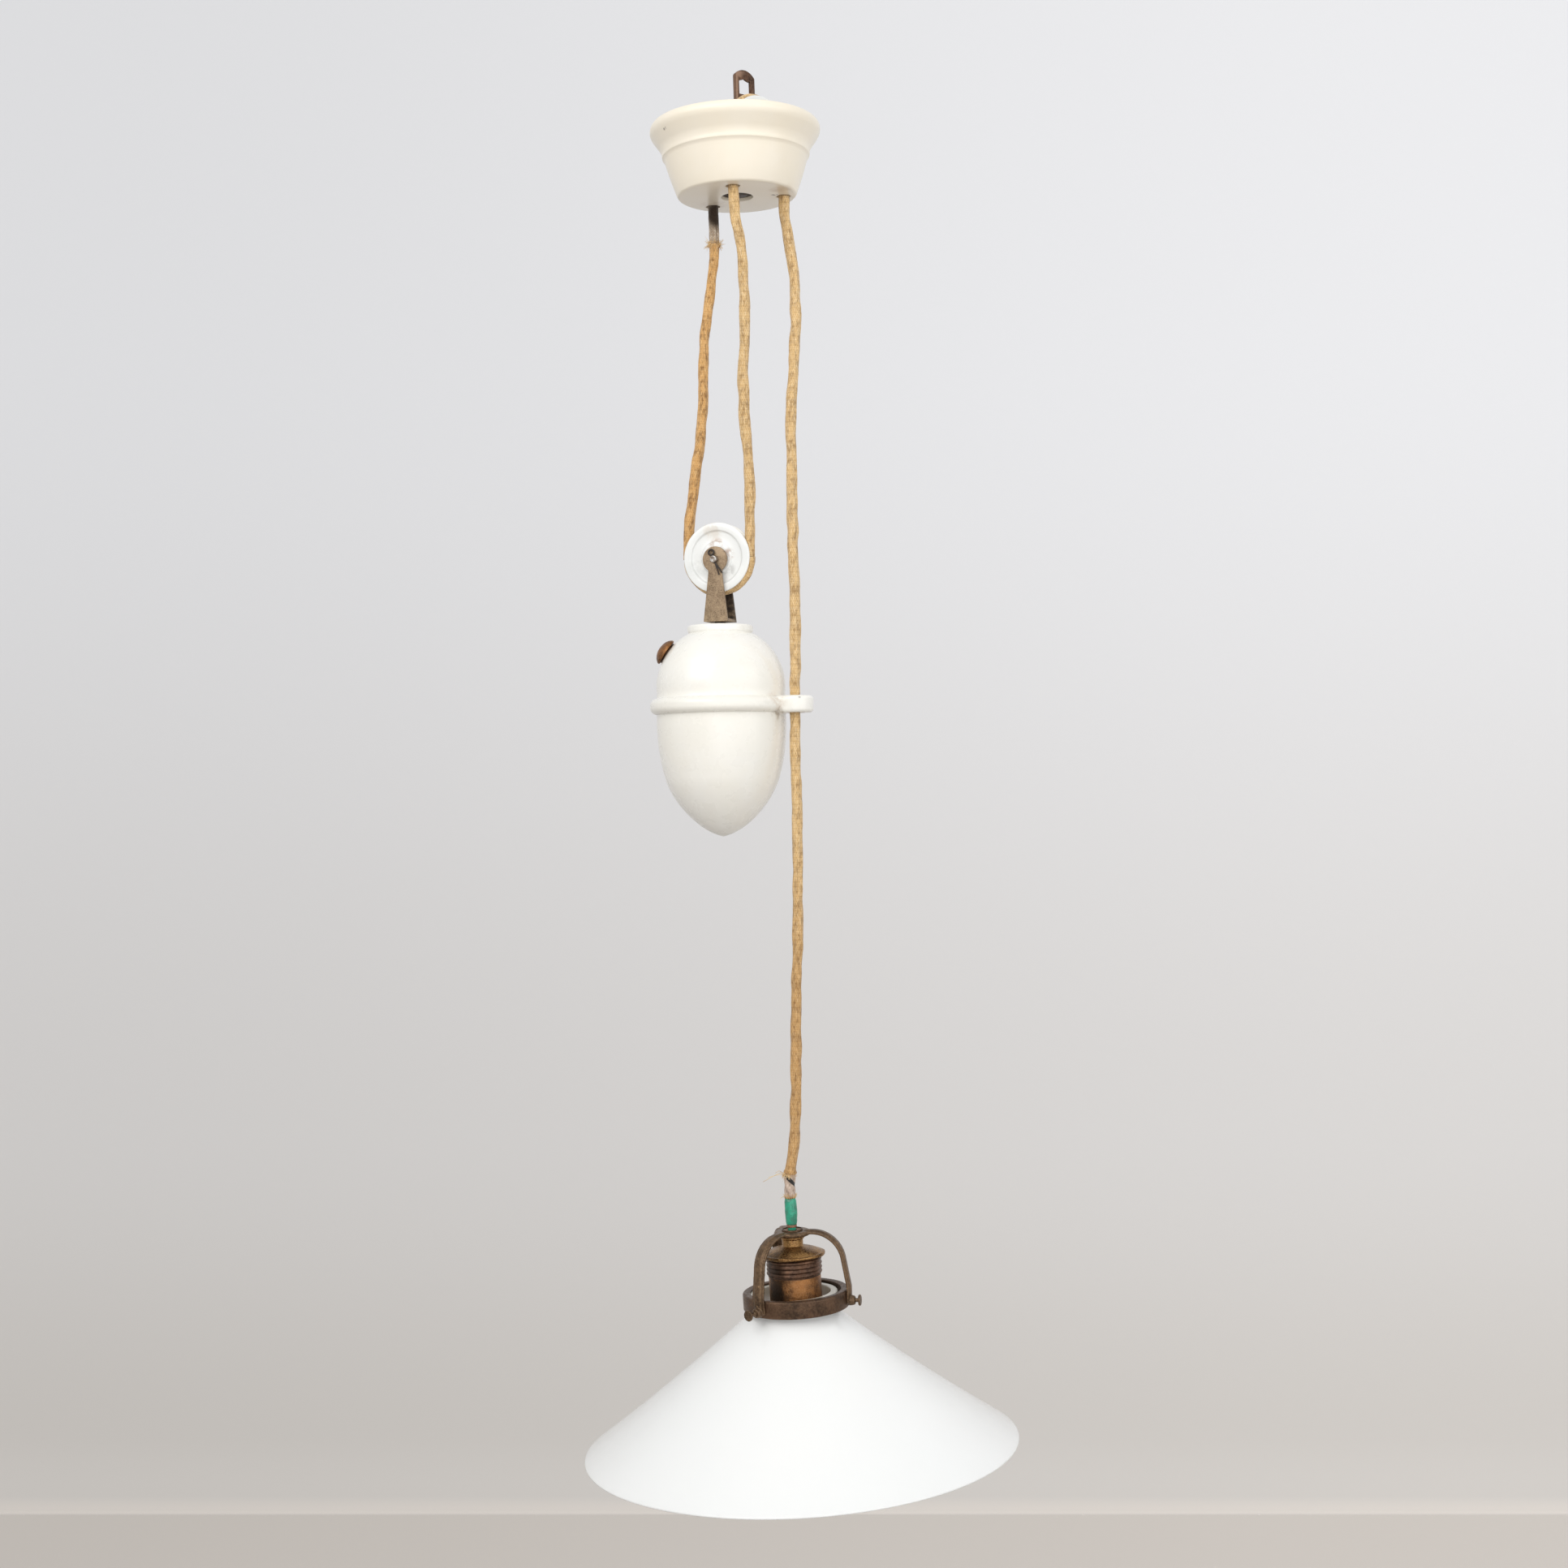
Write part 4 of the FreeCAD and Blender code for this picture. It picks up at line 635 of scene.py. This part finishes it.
def hairs(name, place, look, body):     # thin loose fibres round a cord's cut cover
    curve = bpy.data.curves.new(name, "CURVE")
    curve.dimensions = "3D"
    curve.bevel_depth = look["thick"] * mm
    curve.bevel_resolution = 0
    curve.use_fill_caps = True
    dice = random.Random(look["seed"])
    for _ in range(look["count"]):
        angle = dice.uniform(0, 2 * math.pi)
        out = Vector((math.cos(angle), math.sin(angle), 0))
        length = dice.uniform(*look["length"])
        lift = dice.uniform(*look["lift"])
        spline = curve.splines.new("POLY")
        spline.points.add(3)
        bend = Vector((dice.uniform(-1, 1), dice.uniform(-1, 1), dice.uniform(-1, 1)))
        for step, knot in enumerate(spline.points):
            share = step / 3
            spread = out * (look["start"] + length * share * look["spread"])
            point = spread + Vector((0, 0, lift * share * length)) + bend * share ** 2 * length * 0.35
            knot.co = (*(place @ (point * mm)), 1.0)
            knot.radius = 1.0 - 0.6 * share
    for path in look.get("strays", ()):
        spline = curve.splines.new("POLY")
        spline.points.add(len(path) - 1)
        for knot, point in zip(spline.points, path):
            knot.co = (*(place @ (Vector(point) * mm)), 1.0)
    holder = placed(name, curve)
    mesh = baked(holder)
    bpy.data.objects.remove(holder)
    mesh.name = name
    return dressed(name, mesh, "fibre", body)


groove = 22.8       # from a pulley's middle to the middle of its cord
falls = {
    "anchor": routeOf("anchor", [at(canopyPlace, -17.5, 23, 13), at(canopyPlace, -17.5, 23, -6)]
                      + cordLook["anchor"] + [at(weightPlace, -groove, 0, 22), at(weightPlace, -groove, 0, 0)]),
    "return": routeOf("return", [at(turnPlace, -groove, 0, 0), at(turnPlace, -groove, 0, -18)]
                      + cordLook["return"] + [at(weightPlace, groove, 0, 22), at(weightPlace, groove, 0, 0)]),
    "lamp": routeOf("lamp", [at(turnPlace, groove, 0, 0), at(turnPlace, groove, 0, -14)]
                    + cordLook["lamp"] + [at(lampPlace, 0, 0, 36.3), at(lampPlace, 0, 0, 22.32)]),
}
level = places["canopyPulleyLevel"]
turnRoute = routeOf("turn", [at(turnPlace, -groove, 0, z) for z in (0, 20, 35)]
                    + [at(turnPlace, x, 0, level + z) for x, z in cordLook["halfTurn"]]
                    + [at(turnPlace, groove, 0, z) for z in (35, 20, 0)])
wrapRoute = routeOf("wrap", [at(weightPlace, -groove, 0, 0)]
                    + [at(weightPlace, x, 0, -z) for x, z in cordLook["halfTurn"]]
                    + [at(weightPlace, groove, 0, 0)])
lampLength = lengthOf(falls["lamp"])
print("cord lengths", {name: round(lengthOf(route), 4) for name, route in falls.items()})

anchorCord = cordPiece("anchorCord", falls["anchor"], 1.3, "braidOrange",
                       [(0.0, 0.0395, 3.15, 10, 0.5, 260, "innerBraid"),
                        (0.0395, 0.0422, 3.7, 11, 0.7, 60, "braidOrange")])
returnCord = cordPiece("returnCord", falls["return"], 5.1, "braid")
lampCord = cordPiece("lampCord", falls["lamp"], 9.7, "braid",
                     [(lampLength - 0.0193, lampLength - 0.0165, 3.6, 11, 0.8, 60, "braid"),
                      (lampLength - 0.0165, lampLength - 0.0016, 3.05, 4, 0.85, 420, "cordCore"),
                      (lampLength - 0.0016, lampLength + 1, 3.4, 11, 0.7, 60, "braid")],
                     [(0.388, 0.35, 0.0032, 1.0), (lampLength - 0.0185, 0.2, 0.0035, 0.7),
                      (lampLength - 0.0185, 0.75, 0.003, 0.6)])
turnCord = cordPiece("turnCord", turnRoute, 3.3, "braid")
wrapCord = cordPiece("wrapCord", wrapRoute, 7.9, "braid")

anchorEnd = min(range(len(falls["anchor"])), key=lambda i: abs(falls["anchor"][i].z - cordLook["cutLevel"]))
frayUpper = hairs("frayUpper", framesAlong(falls["anchor"])[anchorEnd], {
    "seed": 3, "count": 260, "length": (1.2, 5.2), "lift": (-0.6, 1.2), "spread": 0.55, "start": 3.3,
    "thick": 0.17, "strays": [[(-3, 0, 1), (-6, -1, -1.5), (-7.5, -1, -4.5)],
                              [(3, -1, 0), (6, -2, 1.5), (7.5, -2, 3.5)]]}, None)
frayLower = hairs("frayLower", lampPlace @ shift(0, 0, 38.8), {
    "seed": 5, "count": 260, "length": (1.0, 3.4), "lift": (-1.2, 0.4), "spread": 0.5, "start": 3.3,
    "thick": 0.16, "strays": [[(-2, -2.5, 1), (-7, -4, 1.6), (-12, -5, -0.6), (-18, -5, -3.5)],
                              [(-2.5, -1.5, 0.0), (-8.0, -3.0, 0.4), (-14.0, -3.0, -1.0)],
                              [(-3.0, 0.5, 0.5), (-6.5, 0.0, 2.6), (-9.0, -1.0, 1.6)]]}, "lamp_assembly")
frayFoot = hairs("frayFoot", lampPlace @ shift(0, 0, 23.4), {
    "seed": 8, "count": 130, "length": (0.8, 3.0), "lift": (-0.3, 1.0), "spread": 0.6, "start": 3.1,
    "thick": 0.16, "strays": [[(-3, -2, 0), (-5.0, -3, 0.6), (-6.8, -3, -0.6)]]}, "lamp_assembly")

for piece, fall, far in ((anchorCord, "anchor", "weight_assembly"), (frayUpper, "anchor", "weight_assembly"),
                         (returnCord, "return", "weight_assembly"), (lampCord, "lamp", "lamp_assembly")):
    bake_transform(piece)
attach(turnCord, "ceiling_assembly")
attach(wrapCord, "weight_assembly")
for piece, node in ((anchorCord, "cord_anchor_fall"), (returnCord, "cord_return_fall"),
                    (lampCord, "cord_lamp_fall"), (turnCord, "cord_canopy_turn"),
                    (wrapCord, "cord_pulley_wrap")):
    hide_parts(node)
print("cords made")

canopyLook = {
    "profile": [(0, 0), (41.2, 0, 1.6), (46.9, 15.5, 7.0, 8), (49.0, 23.0, 2.0, 5), (50.0, 26.2, 1.6, 5),
                (51.4, 27.6, 1.6, 5), (51.5, 32.0, 3.6, 8), (58.9, 42.6, 1.8), (59.9, 47.5, 3.2, 8),
                (57.0, 49.9, 1.2), (54.7, 49.5, 1.0), (49.6, 35.6, 5.0), (43.6, 22.0, 4.0), (41.2, 10.0, 5.0, 8),
                (35.5, 6.0, 2.5), (0, 6.0)],
    "cordHole": 5.0, "boltRecess": 11.2, "recessDepth": 2.6, "boltHole": 3.2, "anchorHole": (-17.5, 23.0),
    # the bolt's thin wide disc on the recess floor is a dark washer, made wide and dark as painted shade of the
    # recess
    "bolt": [(0, 0.5), (5.6, 0.6, 1.0), (7.4, 1.6, 0.5), (7.4, 2.2, 0.1), (10.9, 2.3), (10.9, 2.55), (3.0, 2.55),
             (3.0, 19), (0, 19)],
}


def makeCanopy():
    look = canopyLook
    bowl = finished("canopyBowl", worn(spun(look["profile"], 160), 0.22, 24, 2.0), canopyPlace, "creamGlaze",
                    "ceiling_assembly", "canopy", 50)
    ways = [shift(*look["anchorHole"])] + [pulleyInCanopy @ shift(side * groove, 0) for side in (-1, 1)]
    cutters = [peg(look["cordHole"], -3, 9, canopyPlace @ way) for way in ways]
    cutters.append(peg(look["boltRecess"], -5, look["recessDepth"], canopyPlace, 96))
    cutters.append(peg(look["boltHole"], -5, 9, canopyPlace, 32))
    carved(bowl, cutters)
    shaded(bowl.data)
    # the dark disc under the head is part washer, part painted shade of the recess
    finished("boltHeadAndShadeDisc", spun(look["bolt"], 64), canopyPlace, "darkSteel", "ceiling_assembly", "central_bolt")


pulleyLook = {
    "half": [(19.2, 3.4, 2.6, 8), (22.6, 3.8, 0.6), (24.5, 4.2, 0.4), (24.5, 5.75, 0.9), (19.2, 5.75, 0.6),
             (18.3, 4.45, 0.7), (11.8, 4.45, 0.5), (11.0, 5.75, 0.5), (3.9, 5.75)],      # groove, rim, face, bore
    "bottom": (19.0, 0.0, 0.8), "play": 1.5,
}


def makePulley(name, place, body, node):
    back = [(radius, -level, *rounding) for radius, level, *rounding in reversed(pulleyLook["half"])]
    profile = back + [pulleyLook["bottom"]] + pulleyLook["half"]
    finished(name, worn(spun(profile, 120), 0.10, 60, 4.0), place @ turn(90, "X"), "whiteGlaze", body, node)


weightLook = {
    "profile": [(0, -46.9), (22.9, -46.9, 1.7, 6), (22.9, -51.7, 0.9, 4), (21.9, -52.3, 0.4),
                (47.2, -65.2, 27.0, 30), (44.75, -94.0), (44.9, -97.7, 0.6, 3), (49.8, -98.5, 3.9, 9),
                (49.8, -108.0, 3.9, 9), (45.1, -108.8, 0.6, 3), (45.8, -131.0, 17.5, 12), (40.8, -150.0),
                (34.0, -179.4, 29.0, 24), (4.8, -193.0, 3.8, 6), (0, -194.3)],
    "eye": (55.0, -103.3), "eyeRadius": 6.5, "boltHole": 2.75,
    "tabRadius": 12.35, "tabHalf": 5.9, "round": 2.7, "tabRoot": 36.0,
    "filler": (200, 36.8, -66.1, 34.5), "fillerHole": 8.1,      # azimuth, radius, height and slope
    "bush": [(5.0, -7.8), (8.0, -7.8), (8.0, 0.8, 0.2), (5.0, 0.8, 0.2)],
    "plug": [(0, -7), (4.9, -7, 0.4), (4.9, 1.12), (9.5, 1.12, 0.3), (9.75, 2.2, 0.5), (6.7, 6.85, 5.0, 12),
             (0, 6.9)],
}


def makeWeight():
    look = weightLook
    reach, height = look["eye"]
    half = look["tabHalf"]
    rim = [(look["tabRadius"], level, look["round"], 6) for level in (-half, half)]
    tab = spun([(0, -half), *rim, (0, half)], 72)
    backHalf = [vertex for vertex in tab.verts if vertex.co.x < -0.0001]     # a disc drawn out into a bar
    bmesh.ops.translate(tab, vec=((look["tabRoot"] - reach) * mm, 0, 0), verts=backHalf)
    bmesh.ops.transform(tab, matrix=weightPlace @ shift(reach, 0, height), verts=tab.verts)
    piece = finished("weightBody", worn(spun(look["profile"], 176), 0.25, 22, 6.0), weightPlace, "ivoryGlaze",
                     "weight_assembly", "weight_shell", 60)
    carved(piece, [tab], "UNION")
    azimuth, out, level, slope = look["filler"]
    fillerOut = weightPlace @ turn(azimuth) @ shift(out, 0, level) @ turn(-slope, "Y") @ turn(90, "Y")
    carved(piece, [peg(look["eyeRadius"], height - 12, height + 12, weightPlace @ shift(reach, 0), 64),
                   peg(look["boltHole"], -56, -30, weightPlace, 32),
                   peg(look["fillerHole"], -7.5, 8, fillerOut, 64)])
    shaded(piece.data, 35)
    finished("fillerBush", spun(look["bush"], 48), fillerOut, "darkBrass", "weight_assembly", "filler_bush")
    finished("fillerPlug", worn(spun(look["plug"], 64), 0.25, 160, 3.0), fillerOut, "copperyBrass",
             "filler_plug_body", "filler_plug")


galleryLook = {
    "hub": [(6.5, -3.5), (11.6, -3.5, 0.5), (12.5, -2.6, 0.4), (12.5, -0.9, 0.5), (11.4, 0, 0.5), (6.5, 0)],
    "section": [(-4.7, -2.2), (4.7, -2.2), (4.8, -0.7), (3.2, -0.6), (2.0, 0.5), (-2.0, 0.5), (-3.2, -0.6),
                (-4.8, -0.7)],
    "bendCentre": (14.0, -22.2), "bendTurn": 81.5, "leg": 21.0, "screwLevel": -48.6,
    "boss": [(0, 36.2), (3.6, 36.2), (3.5, 39.6, 1.0), (2.9, 41.6, 0.6), (0, 41.6)], "screwHole": 2.0,
    "ring": [(31.3, -42.3, 0.2), (31.3, -41.3, 0.5, 4), (33.6, -40.9, 0.8), (35.9, -40.9, 0.9, 4),
             (36.7, -42.0, 0.6), (36.6, -52.3, 0.6), (35.9, -53.0, 0.5), (33.9, -53.0, 0.3), (33.9, -42.3, 0.3)],
    "screw": [(0, 0), (1.5, 0, 0.2), (1.9, 0.6, 0.2), (1.9, 12.4), (1.35, 12.9, 0.2), (1.35, 16.4, 0.2),
              (3.4, 16.6, 0.3), (3.8, 17.0, 0.3), (3.8, 17.8, 0.3), (3.3, 18.2, 0.3), (1.2, 18.0, 0.4), (0, 17.8)],
    "neck": 29.2, "gap": 0.35,      # the glass neck's radius, and from it to a screw's point
}


def makeArm(azimuth):
    look = galleryLook
    bm = bmesh.new()
    section = bm.faces.new([bm.verts.new((9 * mm, y * mm, z * mm)) for y, z in look["section"]])
    grown = bmesh.ops.extrude_face_region(bm, geom=[section])["geom"]
    ends = [item for item in grown if isinstance(item, bmesh.types.BMVert)]
    bmesh.ops.translate(bm, vec=(5 * mm, 0, 0), verts=ends)
    face = [item for item in grown if isinstance(item, bmesh.types.BMFace)]
    x, z = look["bendCentre"]
    lean = math.radians(look["bendTurn"])
    bent = bmesh.ops.spin(bm, geom=face, cent=(x * mm, 0, z * mm), axis=(0, 1, 0), angle=lean,
                          steps=16)["geom_last"]
    down = Vector((math.cos(lean), 0, -math.sin(lean)))
    steps = (       # the leg, and the foot that lies along the ring, each with its widening
        (down * look["leg"] * 0.5, 1.0),
        (down * look["leg"] * 0.45, 1.06),
        (Vector((-0.1, 0, -5.0)), 1.05),
        (Vector((-0.5, 0, -5.6)), 0.96),
        (Vector((-0.9, 0, -1.5)), 0.70),
    )
    for move, wide in steps:
        face = [item for item in bent if isinstance(item, bmesh.types.BMFace)]
        bent = bmesh.ops.extrude_face_region(bm, geom=face)["geom"]
        ends = [item for item in bent if isinstance(item, bmesh.types.BMVert)]
        bmesh.ops.translate(bm, vec=move * mm, verts=ends)
        bmesh.ops.scale(bm, vec=(1, wide, 1), verts=ends)
        for stale in face:
            if stale.is_valid:
                bm.faces.remove(stale)
    joined(bm, [spun(look["boss"], 32, shift(0, 0, look["screwLevel"]) @ turn(90, "Y"))])
    bmesh.ops.transform(bm, matrix=turn(azimuth), verts=bm.verts)
    return bm


def screwHoles(start, end):
    outward = shift(0, 0, galleryLook["screwLevel"]) @ turn(90, "Y")
    return [peg(galleryLook["screwHole"], start, end, galleryPlace @ turn(120 * index) @ outward, 32)
            for index in range(3)]


def makeGallery():
    look = galleryLook
    whole = spun(look["hub"], 72)
    joined(whole, [makeArm(120 * index) for index in range(3)])
    spider = finished("gallerySpider", whole, galleryPlace, "armBrass", "lamp_assembly", "gallery_spider")
    melt = spider.modifiers.new("melt", "REMESH")
    melt.mode = "VOXEL"
    melt.voxel_size = 0.36 * mm
    melt.use_smooth_shade = True
    ease = spider.modifiers.new("ease", "SMOOTH")
    ease.factor = 0.5
    ease.iterations = 3
    applied(spider)
    carved(spider, screwHoles(30, 45))
    shaded(spider.data, 50)
    ring = finished("galleryRing", worn(spun(look["ring"], 144), 0.05, 90), galleryPlace, "darkBrass",
                    "lamp_assembly", "gallery_ring")
    carved(ring, screwHoles(28, 42))
    shaded(ring.data)
    offset = Vector(places["shadeShift"])
    for index in range(3):
        angle = math.radians(places["galleryTurn"] + 120 * index)
        out = Vector((math.cos(angle), math.sin(angle), 0))
        aside = offset.x * out.y - offset.y * out.x
        reach = offset.dot(out) + math.sqrt(look["neck"] ** 2 - aside ** 2) + look["gap"]
        place = lampPlace @ turn(math.degrees(angle)) @ shift(reach, 0, look["screwLevel"]) @ turn(90, "Y")
        finished(f"thumbscrew{index + 1}", spun(look["screw"], 40), place, "armBrass",
                 f"thumbscrew_{index + 1}_body", f"thumbscrew_{index + 1}", 35)


holderLook = {
    "cap": [(6.5, -5.8), (7.3, -5.8, 0.3), (7.3, -10.4, 0.8), (10.5, -11.2, 1.4), (17.5, -13.4, 3.0),
            (19.8, -15.0, 1.0), (21.6, -15.2, 0.5), (21.6, -16.9, 0.5), (20.2, -17.9, 0.6), (18.3, -17.6),
            (17.6, -16.2), (9, -12.8), (6.5, -12.4)],
    "threads": [(17.0, -18.3), (18.2, -18.3, 0.2), (19.5, -19.5, 0.8, 5), (18.3, -21.0, 0.4),
                (19.6, -22.6, 0.8, 5), (18.3, -24.0, 0.4), (19.5, -25.6, 0.8, 5), (18.3, -27.0, 0.4),
                (19.5, -28.4, 0.8, 5), (18.2, -30.0, 0.4), (18.2, -30.6), (17.0, -30.6)],
    "barrel": [(17.0, -30.7), (18.0, -30.7, 0.3), (18.0, -59.0, 0.4), (18.6, -60.0, 0.3), (17.0, -60.0)],
    "insert": [(0, -20), (16.7, -20, 0.3), (16.7, -57, 0.6), (14.3, -57, 0.6), (14.3, -33, 0.4), (0, -33)],
    "screwPitch": 4.0,
    "contact": [(0, -35.8), (2.2, -35.8, 0.4), (2.6, -34), (5, -33.9, 0.2), (5, -33.1), (0, -33.1)],
    "nipple": [(3.4, -11.4), (6.4, -11.4, 0.2), (6.4, 0.55, 0.2), (3.4, 0.55, 0.3)],
    "nippleRing": [(6.5, 0.03), (7.3, 0.03), (7.3, 1.1, 0.35), (6.5, 1.1, 0.2)],
    "nut": [(6.5, -5.5), (8.2, -5.5, 0.4), (8.2, -3.6, 0.4), (6.5, -3.6)],
    "sleeve": [(0, -1.4), (2.7, -1.4), (2.9, 4.2), (3.7, 4.3, 0.3), (4.15, 8.0, 1.5), (4.35, 13.0, 2.0),
               (4.0, 20.5, 1.2), (3.5, 22.3, 0.5), (0, 22.3)],
    "band": [(3.0, 2.3), (3.5, 2.3, 0.3), (3.5, 4.0, 0.3), (3.0, 4.0)],
}


def makeHolder():
    look = holderLook
    thread = [(13.4, -55.4, 0.1)]
    for index in range(4):
        up = look["screwPitch"] * index
        thread += [(13.75, -53.6 + up, 0.7, 4), (13.42, -51.7 + up, 0.6, 4)]
    thread += [(13.4, -37.4), (14.0, -37.4), (14.0, -55.4, 0.1)]
    ridges = worn(worn(spun(look["threads"], 120), 0.3, 120, 2.0), 0.35, 40, 8.0)
    sleeve = worn(worn(spun(look["sleeve"], 48), 0.18, 140, 3.0), 0.2, 420, 1.0)
    for name, shape, material, node, smooth in (
            ("holderCap", worn(spun(look["cap"], 120), 0.55, 70, 1.0), "goldenBrass", "holder_cap", 45),
            ("holderThreads", ridges, "rustyBrass", "holder_shell", 50),
            ("holderBarrel", worn(spun(look["barrel"], 120), 0.12, 60, 5.0), "copperyBrass", "holder_barrel", 40),
            ("socketInsert", spun(look["insert"], 72), "plainPorcelain", "socket_insert", 40),
            ("screwShell", spun(thread, 72), "goldenBrass", "screw_shell", 50),
            ("centreContact", spun(look["contact"], 40), "goldenBrass", "centre_contact", 40),
            ("hubNipple", spun(look["nipple"], 64), "goldenBrass", "hub_nipple", 40),
            ("nippleRing", spun(look["nippleRing"], 64), "darkBrass", "nipple_ring", 40),
            ("nippleNut", spun(look["nut"], 64), "goldenBrass", "nipple_nut", 40),
            ("cordSleeve", sleeve, "greenPlastic", "cord_sleeve", 50),
            ("sleeveBand", spun(look["band"], 40), "brownPlastic", "sleeve_band", 40)):
        finished(name, shape, lampPlace, material, "lamp_assembly", node, smooth)


shadeLook = {
    "profile": [(30.2, -42.5, 0.3), (31.2, -43.0, 0.5), (31.2, -45.2, 0.6), (29.2, -46.6, 0.8),
                (29.2, -55.0, 2.0, 5), (36.4, -61.3, 3.0, 6), (91.1, -107.1, 69.0, 24), (149.6, -147.3, 0.5, 3),
                (149.3, -148.4, 0.5, 3), (146.6, -148.3, 0.8, 3), (88.2, -109.3, 66.0, 24), (33.4, -63.6, 4.0, 6),
                (26.2, -56.4, 1.5, 4), (26.2, -43.0, 0.4), (26.8, -42.5, 0.3)],
}


def makeShade():
    finished("glassShade", worn(spun(shadeLook["profile"], 220), 0.3, 9, 3.0), shadePlace, "opalGlass",
             "lamp_assembly", "glass_shade", 50)


# what keeps its CAD shape: material, how far its edges are eased, and the nodes
fixings = {
    "ceiling_assembly": (
        ("rustyBrass", 0.35, "hanging_strap"), ("yokeBrass", 0.3, "pulley_bracket"),
        ("wornSteel", 0.2, "central_nut"), ("wornSteel", 0.1, "central_washer"),
        ("goldenBrass", 0.4, "cord_clamp"), ("plainPorcelain", 0.8, "terminal_block"),
        ("goldenBrass", 0.12, "clamp_screw_1", "clamp_screw_2", "terminal_screw_1", "terminal_screw_2"),
        ("wireSleeve", 0, "lead_wire_1", "lead_wire_2"), ("darkSteel", 0, "canopy_split_pin")),
    "weight_assembly": (
        ("yokeBrass", 0.3, "weight_yoke"),
        ("darkSteel", 0.15, "yoke_collar", "yoke_bolt", "yoke_washer", "yoke_nut"),
        ("wornSteel", 0.08, "axle_washer_front", "axle_washer_rear"), ("darkSteel", 0, "weight_split_pin")),
    "lamp_assembly": (("goldenBrass", 0.2, "wire_screw_1", "wire_screw_2"),),
}


def makeAxle(name, place, front, back, body, node):
    rod = spun([(0, -back), (4.4, -back, 0.5), (4.4, 1.8 - back, 0.5), (2.35, 1.8 - back), (2.35, front, 0.4),
                (1.5, front), (1.3, front - 0.4), (0, front - 0.5)], 40)
    finished(name, rod, place @ turn(90, "X"), "wornSteel", body, node)


def makeFixings():
    for body, rows in fixings.items():
        for material, width, *names in rows:
            for node in names:
                softened(node, material, body, width)
    play = pulleyLook["play"]
    makeAxle("canopyPin", turnPlace @ shift(0, 0, level + play), 12.5, 10.5, "ceiling_assembly", "canopy_axle")
    makeAxle("weightPin", weightPlace @ shift(0, 0, -play), 12.2, 10.9, "weight_assembly", "weight_axle")
    nodes["shot_filling"].data.materials.clear()
    nodes["shot_filling"].data.materials.append(materials["darkSteel"])


makeCanopy()
print("canopy made")
makePulley("canopyPulley", turnPlace @ shift(0, 0, level), "canopy_pulley_body", "canopy_pulley")
makePulley("weightPulley", weightPlace, "weight_pulley_body", "weight_pulley")
makeWeight()
print("weight made")
makeGallery()
makeHolder()
makeShade()
print("lamp made")
makeFixings()
print("fixings made")

room = {
    "floor": -1.25, "back": 0.80, "wide": 3.0, "bend": 0.06,
    "upper": (0.775, 0.778, 0.795), "lower": (0.672, 0.655, 0.642), "low": (0.610, 0.582, 0.552),
    "foot": (0.690, 0.645, 0.600), "sides": (0.92, 1.09), "sky": 0.66,
    "lamps": [
        ("key", (-1.7, -2.1, 1.2), (0.0, 0.0, -0.45), 2.2, 36, (1.0, 0.985, 0.96)),
        ("fill", (2.0, -1.7, 0.1), (0.0, 0.0, -0.6), 2.2, 17, (0.97, 0.985, 1.0)),
        ("front", (0.2, -3.2, -0.2), (0.0, 0.0, -0.6), 2.8, 22, (1.0, 1.0, 1.0)),
    ],
}


def makeRoom():
    bm = bmesh.new()
    corners = [(-2.6, room["floor"]), (room["back"], room["floor"]), (room["back"], 1.4)]
    line = [bm.verts.new((-room["wide"], y, z)) for y, z in corners]
    for first, second in zip(line, line[1:]):
        bm.edges.new((first, second))
    bmesh.ops.bevel(bm, geom=[line[1]], offset=room["bend"], segments=10, profile=0.5, affect="VERTICES",
                    material=-1)
    grown = bmesh.ops.extrude_edge_only(bm, edges=bm.edges[:])["geom"]
    ends = [item for item in grown if isinstance(item, bmesh.types.BMVert)]
    bmesh.ops.translate(bm, vec=(2 * room["wide"], 0, 0), verts=ends)
    cove = placed("cove", meshFrom("cove", bm))
    cove.data.shade_smooth()
    material, tree, shader = newMaterial("cove", Roughness=0.9, Specular_IOR_Level=0.1)
    # the backdrop gets darker towards the floor, and across it is painted lighter to the right as painted light
    across, _, height = partsOf(tree, coords(tree))
    tone = blended(tree, rise(tree, height, -0.95, 0.0), room["lower"], room["upper"])
    tone = blended(tree, rise(tree, height, -1.2, -0.85), room["low"], tone)
    tone = blended(tree, rise(tree, height, -1.25, -1.24), room["foot"], tone)
    tone = blended(tree, 1.0, tone, rise(tree, across, -0.9, 0.9, *room["sides"]), "MULTIPLY")
    feed(tree, shader.inputs["Base Color"], tone)
    # painted glow: for camera and mirror rays the backdrop mostly glows in its own colour rather than being lit
    paintedGlow = addNode(tree, "Emission", None, Color=tone, Strength=1.0)
    rays = addNode(tree, "LightPath").outputs
    bent = calc(tree, "MAXIMUM", rays["Is Glossy Ray"], rays["Is Transmission Ray"])
    seen = calc(tree, "MAXIMUM", rays["Is Camera Ray"], bent)
    share = addNode(tree, "MixShader")
    feed(tree, share.inputs[0], calc(tree, "MULTIPLY", seen, 0.75))
    tree.links.new(shader.outputs[0], share.inputs[1])
    tree.links.new(paintedGlow.outputs[0], share.inputs[2])
    tree.links.new(share.outputs[0], tree.nodes["Material Output"].inputs["Surface"])
    cove.data.materials.append(material)
    for name, place, target, size, power, colour in room["lamps"]:
        light = bpy.data.lights.new(name, "AREA")
        light.size = size
        light.energy = power
        light.color = colour
        holder = placed(name, light)
        holder.location = place
        holder.rotation_euler = (Vector(target) - Vector(place)).to_track_quat("-Z", "Y").to_euler()
    world = bpy.data.worlds.new("world")
    bpy.context.scene.world = world
    world.use_nodes = True
    sky = world.node_tree.nodes["Background"].inputs
    sky["Color"].default_value = (1.0, 1.0, 1.0, 1.0)
    sky["Strength"].default_value = room["sky"]
    bpy.context.scene.view_settings.view_transform = "Standard"


makeRoom()
print("room made")
